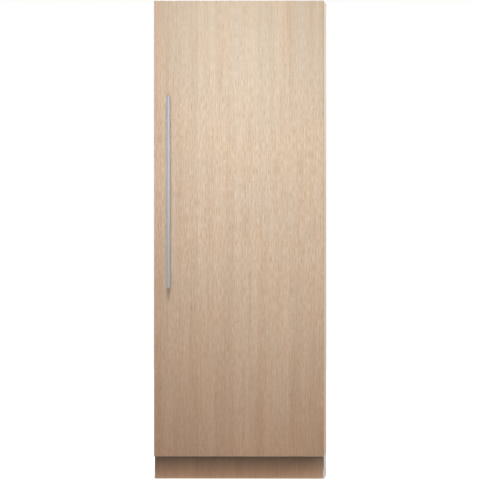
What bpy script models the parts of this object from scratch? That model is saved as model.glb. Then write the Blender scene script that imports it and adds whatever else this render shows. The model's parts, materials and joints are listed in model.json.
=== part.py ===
"""Column refrigerator with one tall wood door, built to full size in metres.

X runs to the right, the front faces -Y and Z is up. The origin lies on the floor under the
middle of the whole shape, handle included. Depths are measured back from the face of the
door panel, and every piece takes its size from the values below.
"""

import math

import bmesh
import bpy
from mathutils import Matrix, Vector

# Whole refrigerator
HEIGHT = 2.1336
WIDTH = 0.75565
DEPTH = 0.6096
TOE_HEIGHT = 0.1016
HALF = WIDTH / 2

# Clearances and mesh quality
GAP = 0.0003
OVERRUN = 0.004
OVERLAP = 0.001
SHAFT_GAP = 0.0006
SMOOTH_ANGLE = math.radians(35)
ROUND_SIDES = 24
FINE_SIDES = 32
SMALL_SIDES = 12
CORNER_STEPS = 5

# Handle on the door
HANDLE_REACH = 0.060
HANDLE_RADIUS = 0.0090
HANDLE_LENGTH = 0.858
HANDLE_BOTTOM = 0.852
HANDLE_INSET = 0.0665
HANDLE_ROUND = 0.0022
POST_RADIUS = 0.007
POST_INSET = 0.090
FRONT_Y = (HANDLE_REACH - DEPTH) / 2

# Door panel and the rails that hold it on the door box
PANEL_THICK = 0.019
PANEL_EASE = 0.0008
PANEL_EASE_STEPS = 2
PANEL_RAIL_THICK = 0.0027
PANEL_RAIL_WIDTH = 0.030
PANEL_RAIL_INSET = 0.038

# Door box
PAN_INSET = 0.003
PAN_SHEET = 0.001
DOOR_BOX_DEPTH = 0.060
DOOR_LINER_THICK = 0.003
PAN_FRONT = PANEL_THICK + GAP + PANEL_RAIL_THICK
DOOR_BACK = PAN_FRONT + DOOR_BOX_DEPTH
PAN_HALF = HALF - PAN_INSET

# Cabinet walls, from the door backwards and from outside to inside
GASKET_DEPTH = 0.012
FACE_FRONT = DOOR_BACK + GASKET_DEPTH
FACE_THICK = 0.002
CABINET_FRONT = FACE_FRONT + FACE_THICK + GAP
BACK_SHEET = 0.001
SKIN_THICK = 0.003
SHELL_SHEET = 0.001
SHELL_HALF = HALF - SKIN_THICK - GAP
SHELL_INNER = SHELL_HALF - SHELL_SHEET
SIDE_WALL = 0.0495
BACK_WALL = 0.0496
ROOF_DROP = 0.0076
ROOF_WALL = 0.061
DECK_Z = 0.215
FLOOR_WALL = 0.035
LINER_THICK = 0.0025
CABINET_TOP = HEIGHT - ROOF_DROP
CAVITY_HALF = SHELL_HALF - SIDE_WALL
CAVITY_BOTTOM = DECK_Z + FLOOR_WALL
CAVITY_TOP = CABINET_TOP - ROOF_WALL
CAVITY_BACK = DEPTH - BACK_WALL
SHELL_BACK = DEPTH - BACK_SHEET - GAP

# Door hinges
HINGE_INSET = 0.020
HINGE_BACKSET = 0.025
HINGE_THICK = 0.005
HINGE_LEFT = 0.022
HINGE_NOSE = 0.015
HINGE_TAIL = 0.110
HINGE_RUNNING = 0.002
PIN_RADIUS = 0.005
PIN_LENGTH = 0.022
PIN_HOLE = PIN_RADIUS + SHAFT_GAP
FOAM_HOLE = 0.008
FOAM_HOLE_DEPTH = 0.026
AXIS_X = HALF - HINGE_INSET
AXIS_D = DOOR_BACK - HINGE_BACKSET
HINGE_RIGHT = SHELL_INNER - GAP
TOP_PLATE = CABINET_TOP + GAP
BOTTOM_PLATE = TOE_HEIGHT + GAP
PAN_TOP = TOP_PLATE - HINGE_RUNNING
PAN_BOTTOM = BOTTOM_PLATE + HINGE_THICK + HINGE_RUNNING

# Gasket round the opening
GASKET_BAND = 0.018
GASKET_OUTSET = 0.006

# Base frame and what stands on the floor
BASE_SHEET = 0.002
BASE_FLANGE = 0.006
FLOOR_CLEAR = 0.001
BASE_FLOOR = 0.040
BASE_TOP = BASE_FLOOR + BASE_SHEET
REAR_FLANGE = 0.030
CROSS_DEPTH = 0.020
CROSS_HEIGHT = 0.018
TOE_THICK = 0.016
TOE_TOP_GAP = 0.0046
TOE_SIDE_GAP = 0.0016
TOE_FLOOR_GAP = 0.0015
FOOT_INSET = 0.050
FOOT_SETBACK = 0.060
FOOT_RADIUS = 0.020
FOOT_PAD = 0.008
FOOT_NECK = 0.010
SPINDLE_RADIUS = 0.006
SPINDLE_TOP = 0.062
BOSS_RADIUS = 0.012
BOSS_HEIGHT = 0.010
ROLLER_INSET = 0.050
ROLLER_SETBACK = 0.055
ROLLER_RADIUS = 0.018
ROLLER_WIDTH = 0.022
ROLLER_EASE = 0.0015
AXLE_RADIUS = 0.003
AXLE_END = 0.001
FORK_GAP = 0.0015
FORK_SHEET = 0.002
FORK_HALF = 0.012
FORK_BOTTOM = 0.010
BASE_BACK_D = FACE_FRONT + TOE_THICK + GAP

# Grilles
GRILLE_SHEET = 0.002
GRILLE_MARGIN = 0.024
SLOT_HEIGHT = 0.006
SLOT_PITCH_Z = 0.014
SLOT_GAP = 0.010
BASE_SLOT_COLUMNS = 6
REAR_SLOT_COLUMNS = 4

# Machine compartment
COMPRESSOR_INSET = 0.188
COMPRESSOR_SETBACK = 0.140
COMPRESSOR_RADIUS = 0.076
COMPRESSOR_LIFT = 0.010
COMPRESSOR_BODY = 0.128
COMPRESSOR_PLATE = 0.004
COMPRESSOR_PLATE_WIDTH = 0.190
COMPRESSOR_PLATE_DEPTH = 0.110
COMPRESSOR_FOOT = 0.011
COMPRESSOR_FOOT_INSET = 0.016
COMPRESSOR_SHARES = (
    (0.0, 0.60), (0.04, 0.84), (0.14, 0.96), (0.34, 1.0), (0.52, 1.0),
    (0.56, 1.04), (0.60, 1.0), (0.78, 0.95), (0.91, 0.76), (0.98, 0.42), (1.0, 0.16),
)
STUB_RADIUS = 0.004
STUB_LENGTH = 0.030
STUB_SPREAD = 0.026
FIN_PITCH = 0.014
FIN_THICK = 0.002
FIN_SPINE = 0.003
BEND_RADIUS = 0.018
BEND_TUBE = 0.004
BEND_STEPS = 6
CONDENSER_INSET = 0.093
CONDENSER_MIDDLE_GAP = 0.035
CONDENSER_D = 0.145
CONDENSER_DEPTH = 0.045
CONDENSER_HEIGHT = 0.145
CONDENSER_BEND_COUNT = 2
SHROUD_SIZE = 0.150
SHROUD_DEPTH = 0.032
SHROUD_SPACE = 0.008
SHROUD_BORE = 0.069
SHROUD_ARM = 0.010
SHROUD_ARM_DEPTH = 0.004
FAN_HUB = 0.017
FAN_BOSS_DEPTH = 0.008
FAN_HUB_DEPTH = 0.014
FAN_TIP_GAP = 0.004
FAN_BLADE_COUNT = 5
FAN_BLADE_WIDTH = 0.024
FAN_BLADE_THICK = 0.002
FAN_BLADE_RISE = 0.011
DRAIN_INSET = 0.033
DRAIN_MIDDLE_GAP = 0.050
DRAIN_SETBACK = 0.050
DRAIN_DEPTH = 0.160
DRAIN_HEIGHT = 0.045
DRAIN_WALL = 0.002
DRAIN_CORNER = 0.020
INLET_INSET = 0.068
INLET_Z = 0.120
INLET_WIDTH = 0.050
INLET_HEIGHT = 0.032
INLET_DEPTH = 0.034
INLET_FIT = 0.0006
SOCKET_WIDTH = 0.026
SOCKET_HEIGHT = 0.018
SOCKET_DEPTH = 0.016
BLADE_PIN_WIDTH = 0.004
BLADE_PIN_THICK = 0.002
BLADE_PIN_SPREAD = 0.007
BLADE_PIN_LENGTH = 0.012
COMPRESSOR_X = HALF - COMPRESSOR_INSET
COMPRESSOR_D = DEPTH - COMPRESSOR_SETBACK
CONDENSER_LEFT = CONDENSER_INSET - HALF
CONDENSER_RIGHT = -CONDENSER_MIDDLE_GAP
DRAIN_LEFT = DRAIN_INSET - HALF
DRAIN_RIGHT = -DRAIN_MIDDLE_GAP
DRAIN_BACK = DEPTH - DRAIN_SETBACK
DRAIN_FRONT = DRAIN_BACK - DRAIN_DEPTH
INLET_X = HALF - INLET_INSET

# Air duct on the back wall, with the evaporator and its fan
DUCT_SIDE_GAP = 0.025
DUCT_DEPTH = 0.040
DUCT_WALL = 0.003
DUCT_BOTTOM = 0.690
DUCT_TOP_GAP = 0.012
DUCT_FRONT = CAVITY_BACK - GAP - DUCT_DEPTH
DUCT_TOP = CAVITY_TOP - DUCT_TOP_GAP
AIR_SLOT_INSET = 0.018
AIR_SLOT_WIDTH = 0.077
AIR_SLOT_HEIGHT = 0.008
AIR_SLOT_PITCH = 0.170
AIR_SLOT_FIRST = 0.300
INTAKE_HALF = 0.150
INTAKE_LIFT = 0.016
INTAKE_ROW_COUNT = 3
EVAP_SIDE_GAP = 0.078
EVAP_LIFT = 0.070
EVAP_HEIGHT = 0.190
EVAP_BEND_COUNT = 3
EVAP_FAN_LIFT = 0.360
EVAP_FAN_RADIUS = 0.058
DUCT_HALF = CAVITY_HALF - DUCT_SIDE_GAP
AIR_SLOT_OUTER = DUCT_HALF - AIR_SLOT_INSET
AIR_SLOT_INNER = AIR_SLOT_OUTER - AIR_SLOT_WIDTH
EVAP_HALF = DUCT_HALF - EVAP_SIDE_GAP

# Shelves, drawers and what carries them
SHELF_STANDOFF = 0.143
SHELF_SIDE_GAP = 0.006
SHELF_RIM = 0.012
SHELF_LEDGE = 0.010
SHELF_DROP = 0.016
SHELF_RISE = 0.002
GLASS_THICK = 0.005
SHELF_TOP_ROOM = 0.068
SHELF_COUNT = 3
CRISPER_TOP = 0.637
SHELF_PITCH = (CAVITY_TOP - SHELF_TOP_ROOM - CRISPER_TOP) / (SHELF_COUNT + 1)
SHELF_HALF = CAVITY_HALF - SHELF_SIDE_GAP
SHELF_FRONT = DOOR_BACK + SHELF_STANDOFF
TRACK_X = 0.165
TRACK_WIDTH = 0.020
TRACK_DEPTH = 0.0085
TRACK_MARGIN = 0.010
TRACK_SLOT_WIDTH = 0.0056
TRACK_SLOT_HEIGHT = 0.014
TRACK_SLOT_DEPTH = 0.006
SLOTS_PER_SHELF = 8
TRACK_FRONT = DUCT_FRONT - GAP - TRACK_DEPTH
SHELF_BACK = TRACK_FRONT - GAP
BRACKET_THICK = 0.004
BRACKET_DROP = 0.042
BRACKET_HEEL = 0.030
BRACKET_REACH = 0.235
BRACKET_TIP = 0.008
BRACKET_SEAT = 0.004
HOOK_DROP = 0.038
HOOK_HALF = 0.005
HOOK_REACH = 0.004
CRISPER_TRIM_DEPTH = 0.014
CRISPER_TRIM_DROP = 0.0235
SLIDER_POCKET_HALF = 0.055
SLIDER_POCKET_HEIGHT = 0.012
SLIDER_POCKET_DEPTH = 0.005
SLIDER_POCKET_DROP = 0.014
SLIDER_HALF = 0.018
SLIDER_NUB_HALF = 0.004
SLIDER_NUB = 0.004
VENT_SLOT_HALF = 0.010
VENT_SLOT_HEIGHT = 0.004
VENT_SLOT_PITCH = 0.032
DRAWER_SETBACK = 0.037
DRAWER_SIDE_ROOM = 0.023
DRAWER_REAR_GAP = 0.015
DRAWER_HALF = CAVITY_HALF - DRAWER_SIDE_ROOM
DRAWER_BACK = CAVITY_BACK - DRAWER_REAR_GAP
DRAWER_WALL = 0.003
DRAWER_FLOOR_GAP = 0.006
DRAWER_HEIGHT = 0.172
DRAWER_SPACING = 0.182
DRAWER_FRONT_THICK = 0.008
DRAWER_FRONT_SIDE_GAP = 0.007
DRAWER_FRONT_HALF = CAVITY_HALF - DRAWER_FRONT_SIDE_GAP
DRAWER_FRONT_RAISE = 0.002
PULL_REACH = 0.006
PULL_HEIGHT = 0.014
LIP_REACH = 0.014
LIP_THICK = 0.003
LIP_DROP = 0.026
LIP_END = 0.002
RAIL_SHEET = 0.003
RAIL_SIDE_GAP = 0.004
RAIL_LEDGE = 0.009
RAIL_FRONT_GAP = 0.003
DRAWER_FRONT = SHELF_FRONT + DRAWER_SETBACK
DRAWER_BOTTOM = CAVITY_BOTTOM + DRAWER_FLOOR_GAP
DRAWER_COUNT = 2

# Light and controls under the cavity's ceiling
LIGHT_HALF = 0.150
LIGHT_FRONT = 0.330
LIGHT_DEPTH = 0.060
LIGHT_THICK = 0.009
LIGHT_ROUND = 0.002
CONTROL_HALF = 0.160
CONTROL_DEPTH = 0.070
CONTROL_HEIGHT = 0.026
KEY_COUNT = 3
KEY_PITCH = 0.060
KEY_HALF = 0.0145
KEY_HEIGHT = 0.010
KEY_PROUD = 0.002
KEY_BODY = 0.006
KEY_FIT = 0.0004
KEY_POCKET = 0.010

# Inside of the door
DIKE_SIDE_GAP = 0.020
DIKE_INNER = CAVITY_HALF - DIKE_SIDE_GAP
DIKE_WIDTH = 0.013
DIKE_DEPTH = 0.045
DIKE_BOTTOM = 0.690
DIKE_TOP_GAP = 0.045
DIKE_TOP = CAVITY_TOP - DIKE_TOP_GAP
LUG_REACH = 0.005
LUG_RISE = 0.030
LUG_HEIGHT = 0.014
LUG_SETBACK = 0.012
LUG_DEPTH = 0.018
BIN_HALF = DIKE_INNER - GAP
BIN_REACH = 0.108
BIN_HEIGHT = 0.095
BIN_WALL = 0.003
BIN_CORNER = 0.024
BIN_FIRST = 0.730
BIN_TOP_ROOM = 0.025
BIN_COUNT = 3
DAIRY_DROP = 0.320
DAIRY_BOTTOM = CAVITY_TOP - DAIRY_DROP
BIN_PITCH = (DAIRY_BOTTOM - BIN_TOP_ROOM - BIN_FIRST) / BIN_COUNT
DAIRY_REACH = 0.090
DAIRY_HEIGHT = 0.085
DAIRY_WALL = 0.003
DAIRY_MOUTH = 0.045
LID_SIDE_GAP = 0.001
LID_THICK = 0.003
LID_FRONT_GAP = 0.003
LID_RISE = 0.0055
LID_SKIRT = 0.055
LID_AXIS_OUT = 0.010
LID_HUB = 0.0035
LID_HUB_END = 0.002
LID_PIN = 0.002
LID_PIN_LENGTH = 0.006
LID_HOLE_DEPTH = 0.008
LID_AXIS_D = DOOR_BACK + LID_AXIS_OUT
LID_TOP = DAIRY_BOTTOM + DAIRY_HEIGHT + LID_RISE
LID_AXIS_Z = LID_TOP - LID_THICK / 2

# Looks, each as colour, roughness and metallic
LOOKS = {
    "wood": ((0.60, 0.47, 0.36), 0.45, 0.0),
    "brushed_metal": ((0.62, 0.61, 0.60), 0.32, 1.0),
    "pale_steel": ((0.72, 0.70, 0.68), 0.40, 0.2),
    "zinc_steel": ((0.55, 0.56, 0.58), 0.38, 0.9),
    "dark_steel": ((0.10, 0.10, 0.11), 0.45, 0.6),
    "black_enamel": ((0.02, 0.02, 0.022), 0.25, 0.0),
    "white_plastic": ((0.86, 0.87, 0.88), 0.30, 0.0),
    "clear_plastic": ((0.80, 0.86, 0.90), 0.08, 0.0),
    "grey_plastic": ((0.45, 0.46, 0.48), 0.45, 0.0),
    "black_plastic": ((0.03, 0.03, 0.035), 0.50, 0.0),
    "aluminium": ((0.75, 0.76, 0.78), 0.35, 1.0),
    "glass": ((0.78, 0.88, 0.86), 0.04, 0.0),
    "foam": ((0.82, 0.74, 0.52), 0.90, 0.0),
    "rubber": ((0.20, 0.20, 0.21), 0.70, 0.0),
    "light_lens": ((0.95, 0.96, 1.0), 0.35, 0.0),
}


class Pivot:
    """An empty on a joint's axis, with its place in the world."""

    def __init__(self, name, place, parent=None):
        self.place = Vector(place)
        self.empty = bpy.data.objects.new(name, None)
        bpy.context.collection.objects.link(self.empty)
        start = parent.place if parent else Vector()
        self.empty.parent = parent.empty if parent else None
        self.empty.location = self.place - start


def clear_scene():
    """Removes every object that the scene starts with."""
    for item in list(bpy.data.objects):
        bpy.data.objects.remove(item, do_unlink=True)


def look(name):
    """Returns the Principled material of this name, made once from the table of looks."""
    found = bpy.data.materials.get(name)
    if found:
        return found
    colour, roughness, metallic = LOOKS[name]
    made = bpy.data.materials.new(name)
    made.use_nodes = True
    shader = made.node_tree.nodes["Principled BSDF"]
    shader.inputs["Base Color"].default_value = (*colour, 1)
    shader.inputs["Roughness"].default_value = roughness
    shader.inputs["Metallic"].default_value = metallic
    made.diffuse_color = (*colour, 1)
    return made


def at(axis, along, first, second):
    """Returns a world point from a place along an axis and two places across it.

    Across x they are depth and height, across y they are x and height, and across z they are
    x and depth.
    """
    if axis == "x":
        return Vector((along, FRONT_Y + first, second))
    if axis == "y":
        return Vector((first, FRONT_Y + along, second))
    return Vector((first, FRONT_Y + second, along))


def add_prism(shape, axis, outline, start, end):
    """Adds a closed outline extruded along an axis."""
    near = [shape.verts.new(at(axis, start, *point)) for point in outline]
    far = [shape.verts.new(at(axis, end, *point)) for point in outline]
    shape.faces.new(near)
    shape.faces.new(far[::-1])
    for index, corner in enumerate(near):
        shape.faces.new((near[index - 1], corner, far[index], far[index - 1]))


def add_box(shape, left, right, front, back, bottom, top):
    """Adds a box between two x values, two depths and two heights."""
    outline = ((left, bottom), (right, bottom), (right, top), (left, top))
    add_prism(shape, "y", outline, front, back)


def add_turned(shape, axis, first, second, profile, sides):
    """Adds a solid turned about an axis from (place along, radius) points, closed at its ends."""
    rings = []
    for along, radius in profile:
        outline = circle(first, second, radius, sides)
        rings.append([shape.verts.new(at(axis, along, *point)) for point in outline])
    shape.faces.new(rings[0])
    shape.faces.new(rings[-1][::-1])
    for near, far in zip(rings, rings[1:]):
        for index in range(sides):
            shape.faces.new((near[index - 1], near[index], far[index], far[index - 1]))


def add_rod(shape, axis, first, second, radius, start, end, sides=ROUND_SIDES):
    """Adds a plain cylinder."""
    add_turned(shape, axis, first, second, ((start, radius), (end, radius)), sides)


def circle(first, second, radius, sides):
    """Returns the corners of a regular outline round a centre."""
    turns = [math.tau * index / sides for index in range(sides)]
    return [(first + radius * math.cos(turn), second + radius * math.sin(turn)) for turn in turns]


def round_front_outline(half, back, front, radius):
    """Returns a plan outline, straight at its back, with round corners at its front."""
    outline = [(-half, back), (half, back)]
    for side, first_turn in ((1, 0), (-1, math.pi / 2)):
        for step in range(CORNER_STEPS + 1):
            turn = first_turn + math.pi / 2 * step / CORNER_STEPS
            x = side * (half - radius) + radius * math.cos(turn)
            outline.append((x, front - radius + radius * math.sin(turn)))
    return outline


def add_bend(shape, side, x, depth, low, radius):
    """Adds a U-shaped tube that turns in the x-z plane and starts inside its end plate."""
    centre = low + radius
    path = [(x - side * OVERLAP, -radius)]
    for step in range(BEND_STEPS + 1):
        turn = math.pi * step / BEND_STEPS - math.pi / 2
        path.append((x + side * radius * math.cos(turn), radius * math.sin(turn)))
    path.append((x - side * OVERLAP, radius))
    rings = []
    for index, (place, height) in enumerate(path):
        before = path[max(index - 1, 0)]
        after = path[min(index + 1, len(path) - 1)]
        run = Vector((after[0] - before[0], 0, after[1] - before[1])).normalized()
        across = run.cross(Vector((0, 1, 0)))
        middle = Vector((place, FRONT_Y + depth, centre + height))
        ring = []
        for first, second in circle(0, 0, BEND_TUBE, SMALL_SIDES // 2):
            ring.append(shape.verts.new(middle + first * across + second * Vector((0, 1, 0))))
        rings.append(ring)
    shape.faces.new(rings[0])
    shape.faces.new(rings[-1][::-1])
    for near, far in zip(rings, rings[1:]):
        for index, corner in enumerate(near):
            shape.faces.new((near[index - 1], corner, far[index], far[index - 1]))


def make(name, shape, look_name, pivot=None):
    """Makes an object of a shape, in the world's frame or under the empty that it moves with."""
    if pivot:
        bmesh.ops.translate(shape, verts=shape.verts, vec=-pivot.place)
    bmesh.ops.recalc_face_normals(shape, faces=shape.faces)
    mesh = bpy.data.meshes.new(name)
    shape.to_mesh(mesh)
    shape.free()
    mesh.shade_smooth()
    mesh.set_sharp_from_angle(angle=SMOOTH_ANGLE)
    made = bpy.data.objects.new(name, mesh)
    bpy.context.collection.objects.link(made)
    made.parent = pivot.empty if pivot else None
    if look_name:
        mesh.materials.append(look(look_name))
    return made


def combine(target, shape, operation, pivot=None):
    """Adds a Boolean modifier with a hidden tool object made of the shape."""
    tool = make(f"{target.name}_{operation.lower()}", shape, None, pivot)
    tool.hide_render = True
    tool.display_type = "WIRE"
    modifier = target.modifiers.new(operation.title(), "BOOLEAN")
    modifier.operation = operation
    modifier.object = tool


def cut(target, shape, pivot=None):
    """Takes the shape out of the target."""
    combine(target, shape, "DIFFERENCE", pivot)


def fuse(target, shape, pivot=None):
    """Joins the shape to the target as one body."""
    combine(target, shape, "UNION", pivot)


def make_box(name, bounds, look_name, pivot=None):
    """Makes a plain box as an object."""
    shape = bmesh.new()
    add_box(shape, *bounds)
    return make(name, shape, look_name, pivot)


def ease(target, width, steps):
    """Rounds the sharp edges of a piece by a small width."""
    bevel = target.modifiers.new("Ease", "BEVEL")
    bevel.width = width
    bevel.segments = steps
    bevel.limit_method = "ANGLE"


def box_shape(*bounds):
    """Returns a new shape that holds one box."""
    shape = bmesh.new()
    add_box(shape, *bounds)
    return shape


def make_frame(name, outer, inner, depths, look_name, pivot=None):
    """Makes a flat rectangular ring; outer and inner are left, right, bottom and top."""
    front, back = depths
    left, right, bottom, top = outer
    ring = make_box(name, (left, right, front, back, bottom, top), look_name, pivot)
    left, right, bottom, top = inner
    hole = box_shape(left, right, front - OVERRUN, back + OVERRUN, bottom, top)
    cut(ring, hole, pivot)
    return ring


def make_fan(name, x, depth, height, tip, look_name, pivot):
    """Makes a fan wheel: a hub with flat blades that stand at an angle to its plane."""
    shape = bmesh.new()
    add_rod(shape, "y", x, height, FAN_HUB, depth, depth + FAN_HUB_DEPTH)
    wheel = make(name, shape, look_name, pivot)
    blades = bmesh.new()
    middle = depth + FAN_HUB_DEPTH / 2
    width = FAN_BLADE_WIDTH / 2
    rise = FAN_BLADE_RISE / 2
    thick = FAN_BLADE_THICK
    section = ((-width, -rise), (width, rise - thick), (width, rise), (-width, thick - rise))
    centre = Vector((x, FRONT_Y + middle, height))
    for index in range(FAN_BLADE_COUNT):
        turned = Matrix.Rotation(math.tau * index / FAN_BLADE_COUNT, 3, "Y")
        rings = []
        for radius in (FAN_HUB / 2, tip):
            points = [centre + turned @ Vector((across, along, radius)) for across, along in section]
            rings.append([blades.verts.new(point) for point in points])
        blades.faces.new(rings[0])
        blades.faces.new(rings[1][::-1])
        for corner in range(len(section)):
            near, far = rings
            blades.faces.new((near[corner - 1], near[corner], far[corner], far[corner - 1]))
    fuse(wheel, blades, pivot)


def make_fin_block(name, left, right, front, back, bottom, top, bends, look_name):
    """Makes a finned heat exchanger: a comb of fins with U-shaped tube ends on both sides."""
    gaps = int((right - left - FIN_THICK) / FIN_PITCH)
    spacing = (right - left - FIN_THICK) / gaps
    spine = back - FIN_SPINE
    outline = [(left, back), (right, back)]
    for index in range(gaps, -1, -1):
        x = left + spacing * index
        if index < gaps:
            outline.append((x + FIN_THICK, spine))
        outline.extend(((x + FIN_THICK, front), (x, front)))
        if index > 0:
            outline.append((x, spine))
    shape = bmesh.new()
    add_prism(shape, "z", outline, bottom, top)
    block = make(name, shape, look_name)
    tubes = bmesh.new()
    pitch = (top - bottom) / bends
    for index in range(bends):
        low = bottom + pitch * index + (pitch - 2 * BEND_RADIUS) / 2
        add_bend(tubes, -1, left, (front + spine) / 2, low, BEND_RADIUS)
        add_bend(tubes, 1, right, (front + spine) / 2, low, BEND_RADIUS)
    fuse(block, tubes)


def add_slots(shape, left, right, front, back, bottom, top, columns):
    """Adds rows and columns of level slots to a cutter."""
    rows = int((top - bottom + SLOT_PITCH_Z - SLOT_HEIGHT) / SLOT_PITCH_Z)
    width = (right - left + SLOT_GAP) / columns - SLOT_GAP
    for row in range(rows):
        low = bottom + SLOT_PITCH_Z * row
        for column in range(columns):
            start = left + (width + SLOT_GAP) * column
            add_box(shape, start, start + width, front, back, low, low + SLOT_HEIGHT)


def door_panel(door):
    """The wood slab, eased at its edges."""
    bounds = (-HALF, HALF, 0, PANEL_THICK, TOE_HEIGHT, HEIGHT)
    ease(make_box("door_panel", bounds, "wood", door), PANEL_EASE, PANEL_EASE_STEPS)


def door_handle(door):
    """The upright round bar on two posts, one welded piece."""
    x = HANDLE_INSET - HALF
    axis_d = HANDLE_RADIUS - HANDLE_REACH
    top = HANDLE_BOTTOM + HANDLE_LENGTH
    small = HANDLE_RADIUS - HANDLE_ROUND
    half_round = HANDLE_ROUND * (1 - math.sqrt(1 / 2))
    profile = (
        (HANDLE_BOTTOM, small), (HANDLE_BOTTOM + half_round, HANDLE_RADIUS - half_round),
        (HANDLE_BOTTOM + HANDLE_ROUND, HANDLE_RADIUS), (top - HANDLE_ROUND, HANDLE_RADIUS),
        (top - half_round, HANDLE_RADIUS - half_round), (top, small),
    )
    shape = bmesh.new()
    add_turned(shape, "z", x, axis_d, profile, FINE_SIDES)
    bar = make("handle", shape, "brushed_metal", door)
    posts = bmesh.new()
    for height in (HANDLE_BOTTOM + POST_INSET, top - POST_INSET):
        add_rod(posts, "y", x, height, POST_RADIUS, axis_d, -GAP)
    fuse(bar, posts, door)


def door_box(door):
    """The steel pan with the panel's rails, its foam, the liner and the magnetic gasket."""
    sheet = PAN_SHEET
    inner = PAN_HALF - sheet
    bounds = (-PAN_HALF, PAN_HALF, PAN_FRONT, DOOR_BACK, PAN_BOTTOM, PAN_TOP)
    pan = make_box("door_outer_pan", bounds, "zinc_steel", door)
    rails = bmesh.new()
    outer = PAN_HALF - PANEL_RAIL_INSET
    near = outer - PANEL_RAIL_WIDTH
    low, high = PAN_BOTTOM + PANEL_RAIL_INSET, PAN_TOP - PANEL_RAIL_INSET
    for left, right in ((-outer, -near), (near, outer)):
        add_box(rails, left, right, PANEL_THICK + GAP, PAN_FRONT + sheet / 2, low, high)
    fuse(pan, rails, door)
    low, high = PAN_BOTTOM + sheet, PAN_TOP - sheet
    cut(pan, box_shape(-inner, inner, PAN_FRONT + sheet, DOOR_BACK + OVERRUN, low, high), door)
    holes = bmesh.new()
    add_rod(holes, "z", AXIS_X, AXIS_D, PIN_HOLE, PAN_BOTTOM - OVERRUN, low + OVERRUN)
    add_rod(holes, "z", AXIS_X, AXIS_D, PIN_HOLE, high - OVERRUN, PAN_TOP + OVERRUN)
    cut(pan, holes, door)
    liner_front = DOOR_BACK - DOOR_LINER_THICK
    half = inner - GAP
    low, high = low + GAP, high - GAP
    front = PAN_FRONT + sheet + GAP
    foam = make_box("door_insulation", (-half, half, front, liner_front - GAP, low, high), "foam", door)
    holes = bmesh.new()
    add_rod(holes, "z", AXIS_X, AXIS_D, FOAM_HOLE, low - OVERRUN, low + FOAM_HOLE_DEPTH)
    add_rod(holes, "z", AXIS_X, AXIS_D, FOAM_HOLE, high - FOAM_HOLE_DEPTH, high + OVERRUN)
    cut(foam, holes, door)
    bounds = (-half, half, liner_front, DOOR_BACK, low, high)
    make_box("door_inner_liner", bounds, "white_plastic", door)
    make_gasket(door)


def door_dike(door):
    """The raised arch on the liner, with pockets for the bins' lugs and the lid's pins."""
    outer = DIKE_INNER + DIKE_WIDTH
    under = DIKE_TOP - DIKE_WIDTH
    outline = (
        (-outer, DIKE_BOTTOM), (-DIKE_INNER, DIKE_BOTTOM), (-DIKE_INNER, under), (DIKE_INNER, under),
        (DIKE_INNER, DIKE_BOTTOM), (outer, DIKE_BOTTOM), (outer, DIKE_TOP), (-outer, DIKE_TOP),
    )
    shape = bmesh.new()
    add_prism(shape, "y", outline, DOOR_BACK + GAP, DOOR_BACK + DIKE_DEPTH)
    dike = make("door_dike", shape, "white_plastic", door)
    holes = bmesh.new()
    for side in (-1, 1):
        start = side * (DIKE_INNER - OVERRUN)
        end = side * (DIKE_INNER + LID_HOLE_DEPTH)
        radius = LID_PIN + SHAFT_GAP
        add_rod(holes, "x", LID_AXIS_D, LID_AXIS_Z, radius, start, end, SMALL_SIDES)
    for bottom in [*bin_heights(), DAIRY_BOTTOM]:
        add_lugs(holes, bottom, DIKE_INNER - OVERRUN, BIN_HALF + LUG_REACH + GAP, GAP)
    cut(dike, holes, door)


def add_lugs(shape, bottom, start, end, room):
    """Adds the lug at each end of a bin, or its pocket, with this much room round it."""
    front = DOOR_BACK + LUG_SETBACK
    low = bottom + LUG_RISE
    spans = (front - room, front + LUG_DEPTH + room, low - room, low + LUG_HEIGHT + room)
    add_box(shape, start, end, *spans)
    add_box(shape, -end, -start, *spans)


def bin_heights():
    """Returns the height of each bin's underside."""
    return [BIN_FIRST + BIN_PITCH * index for index in range(BIN_COUNT)]


def make_gasket(door):
    """The rubber ring that seals the door against the face frame."""
    inner = CAVITY_HALF + GASKET_OUTSET
    outer = inner + GASKET_BAND
    low, high = CAVITY_BOTTOM - GASKET_OUTSET, CAVITY_TOP + GASKET_OUTSET
    outside = (-outer, outer, low - GASKET_BAND, high + GASKET_BAND)
    inside = (-inner, inner, low, high)
    make_frame("door_gasket", outside, inside, (DOOR_BACK + GAP, FACE_FRONT - GAP), "rubber", door)


def door_bins(door):
    """The clear bins that hang in the dike by a lug at each end."""
    front = DOOR_BACK + GAP
    for index, bottom in enumerate(bin_heights()):
        outer = round_front_outline(BIN_HALF, front, front + BIN_REACH, BIN_CORNER)
        inner = round_front_outline(
            BIN_HALF - BIN_WALL, front + BIN_WALL, front + BIN_REACH - BIN_WALL,
            BIN_CORNER - BIN_WALL,
        )
        shape = bmesh.new()
        add_prism(shape, "z", outer, bottom, bottom + BIN_HEIGHT)
        tub = make(f"door_bin_{index + 1}", shape, "clear_plastic", door)
        hollow = bmesh.new()
        add_prism(hollow, "z", inner, bottom + BIN_WALL, bottom + BIN_HEIGHT + OVERRUN)
        cut(tub, hollow, door)
        lugs = bmesh.new()
        add_lugs(lugs, bottom, BIN_HALF - OVERLAP, BIN_HALF + LUG_REACH, 0)
        fuse(tub, lugs, door)


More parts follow.
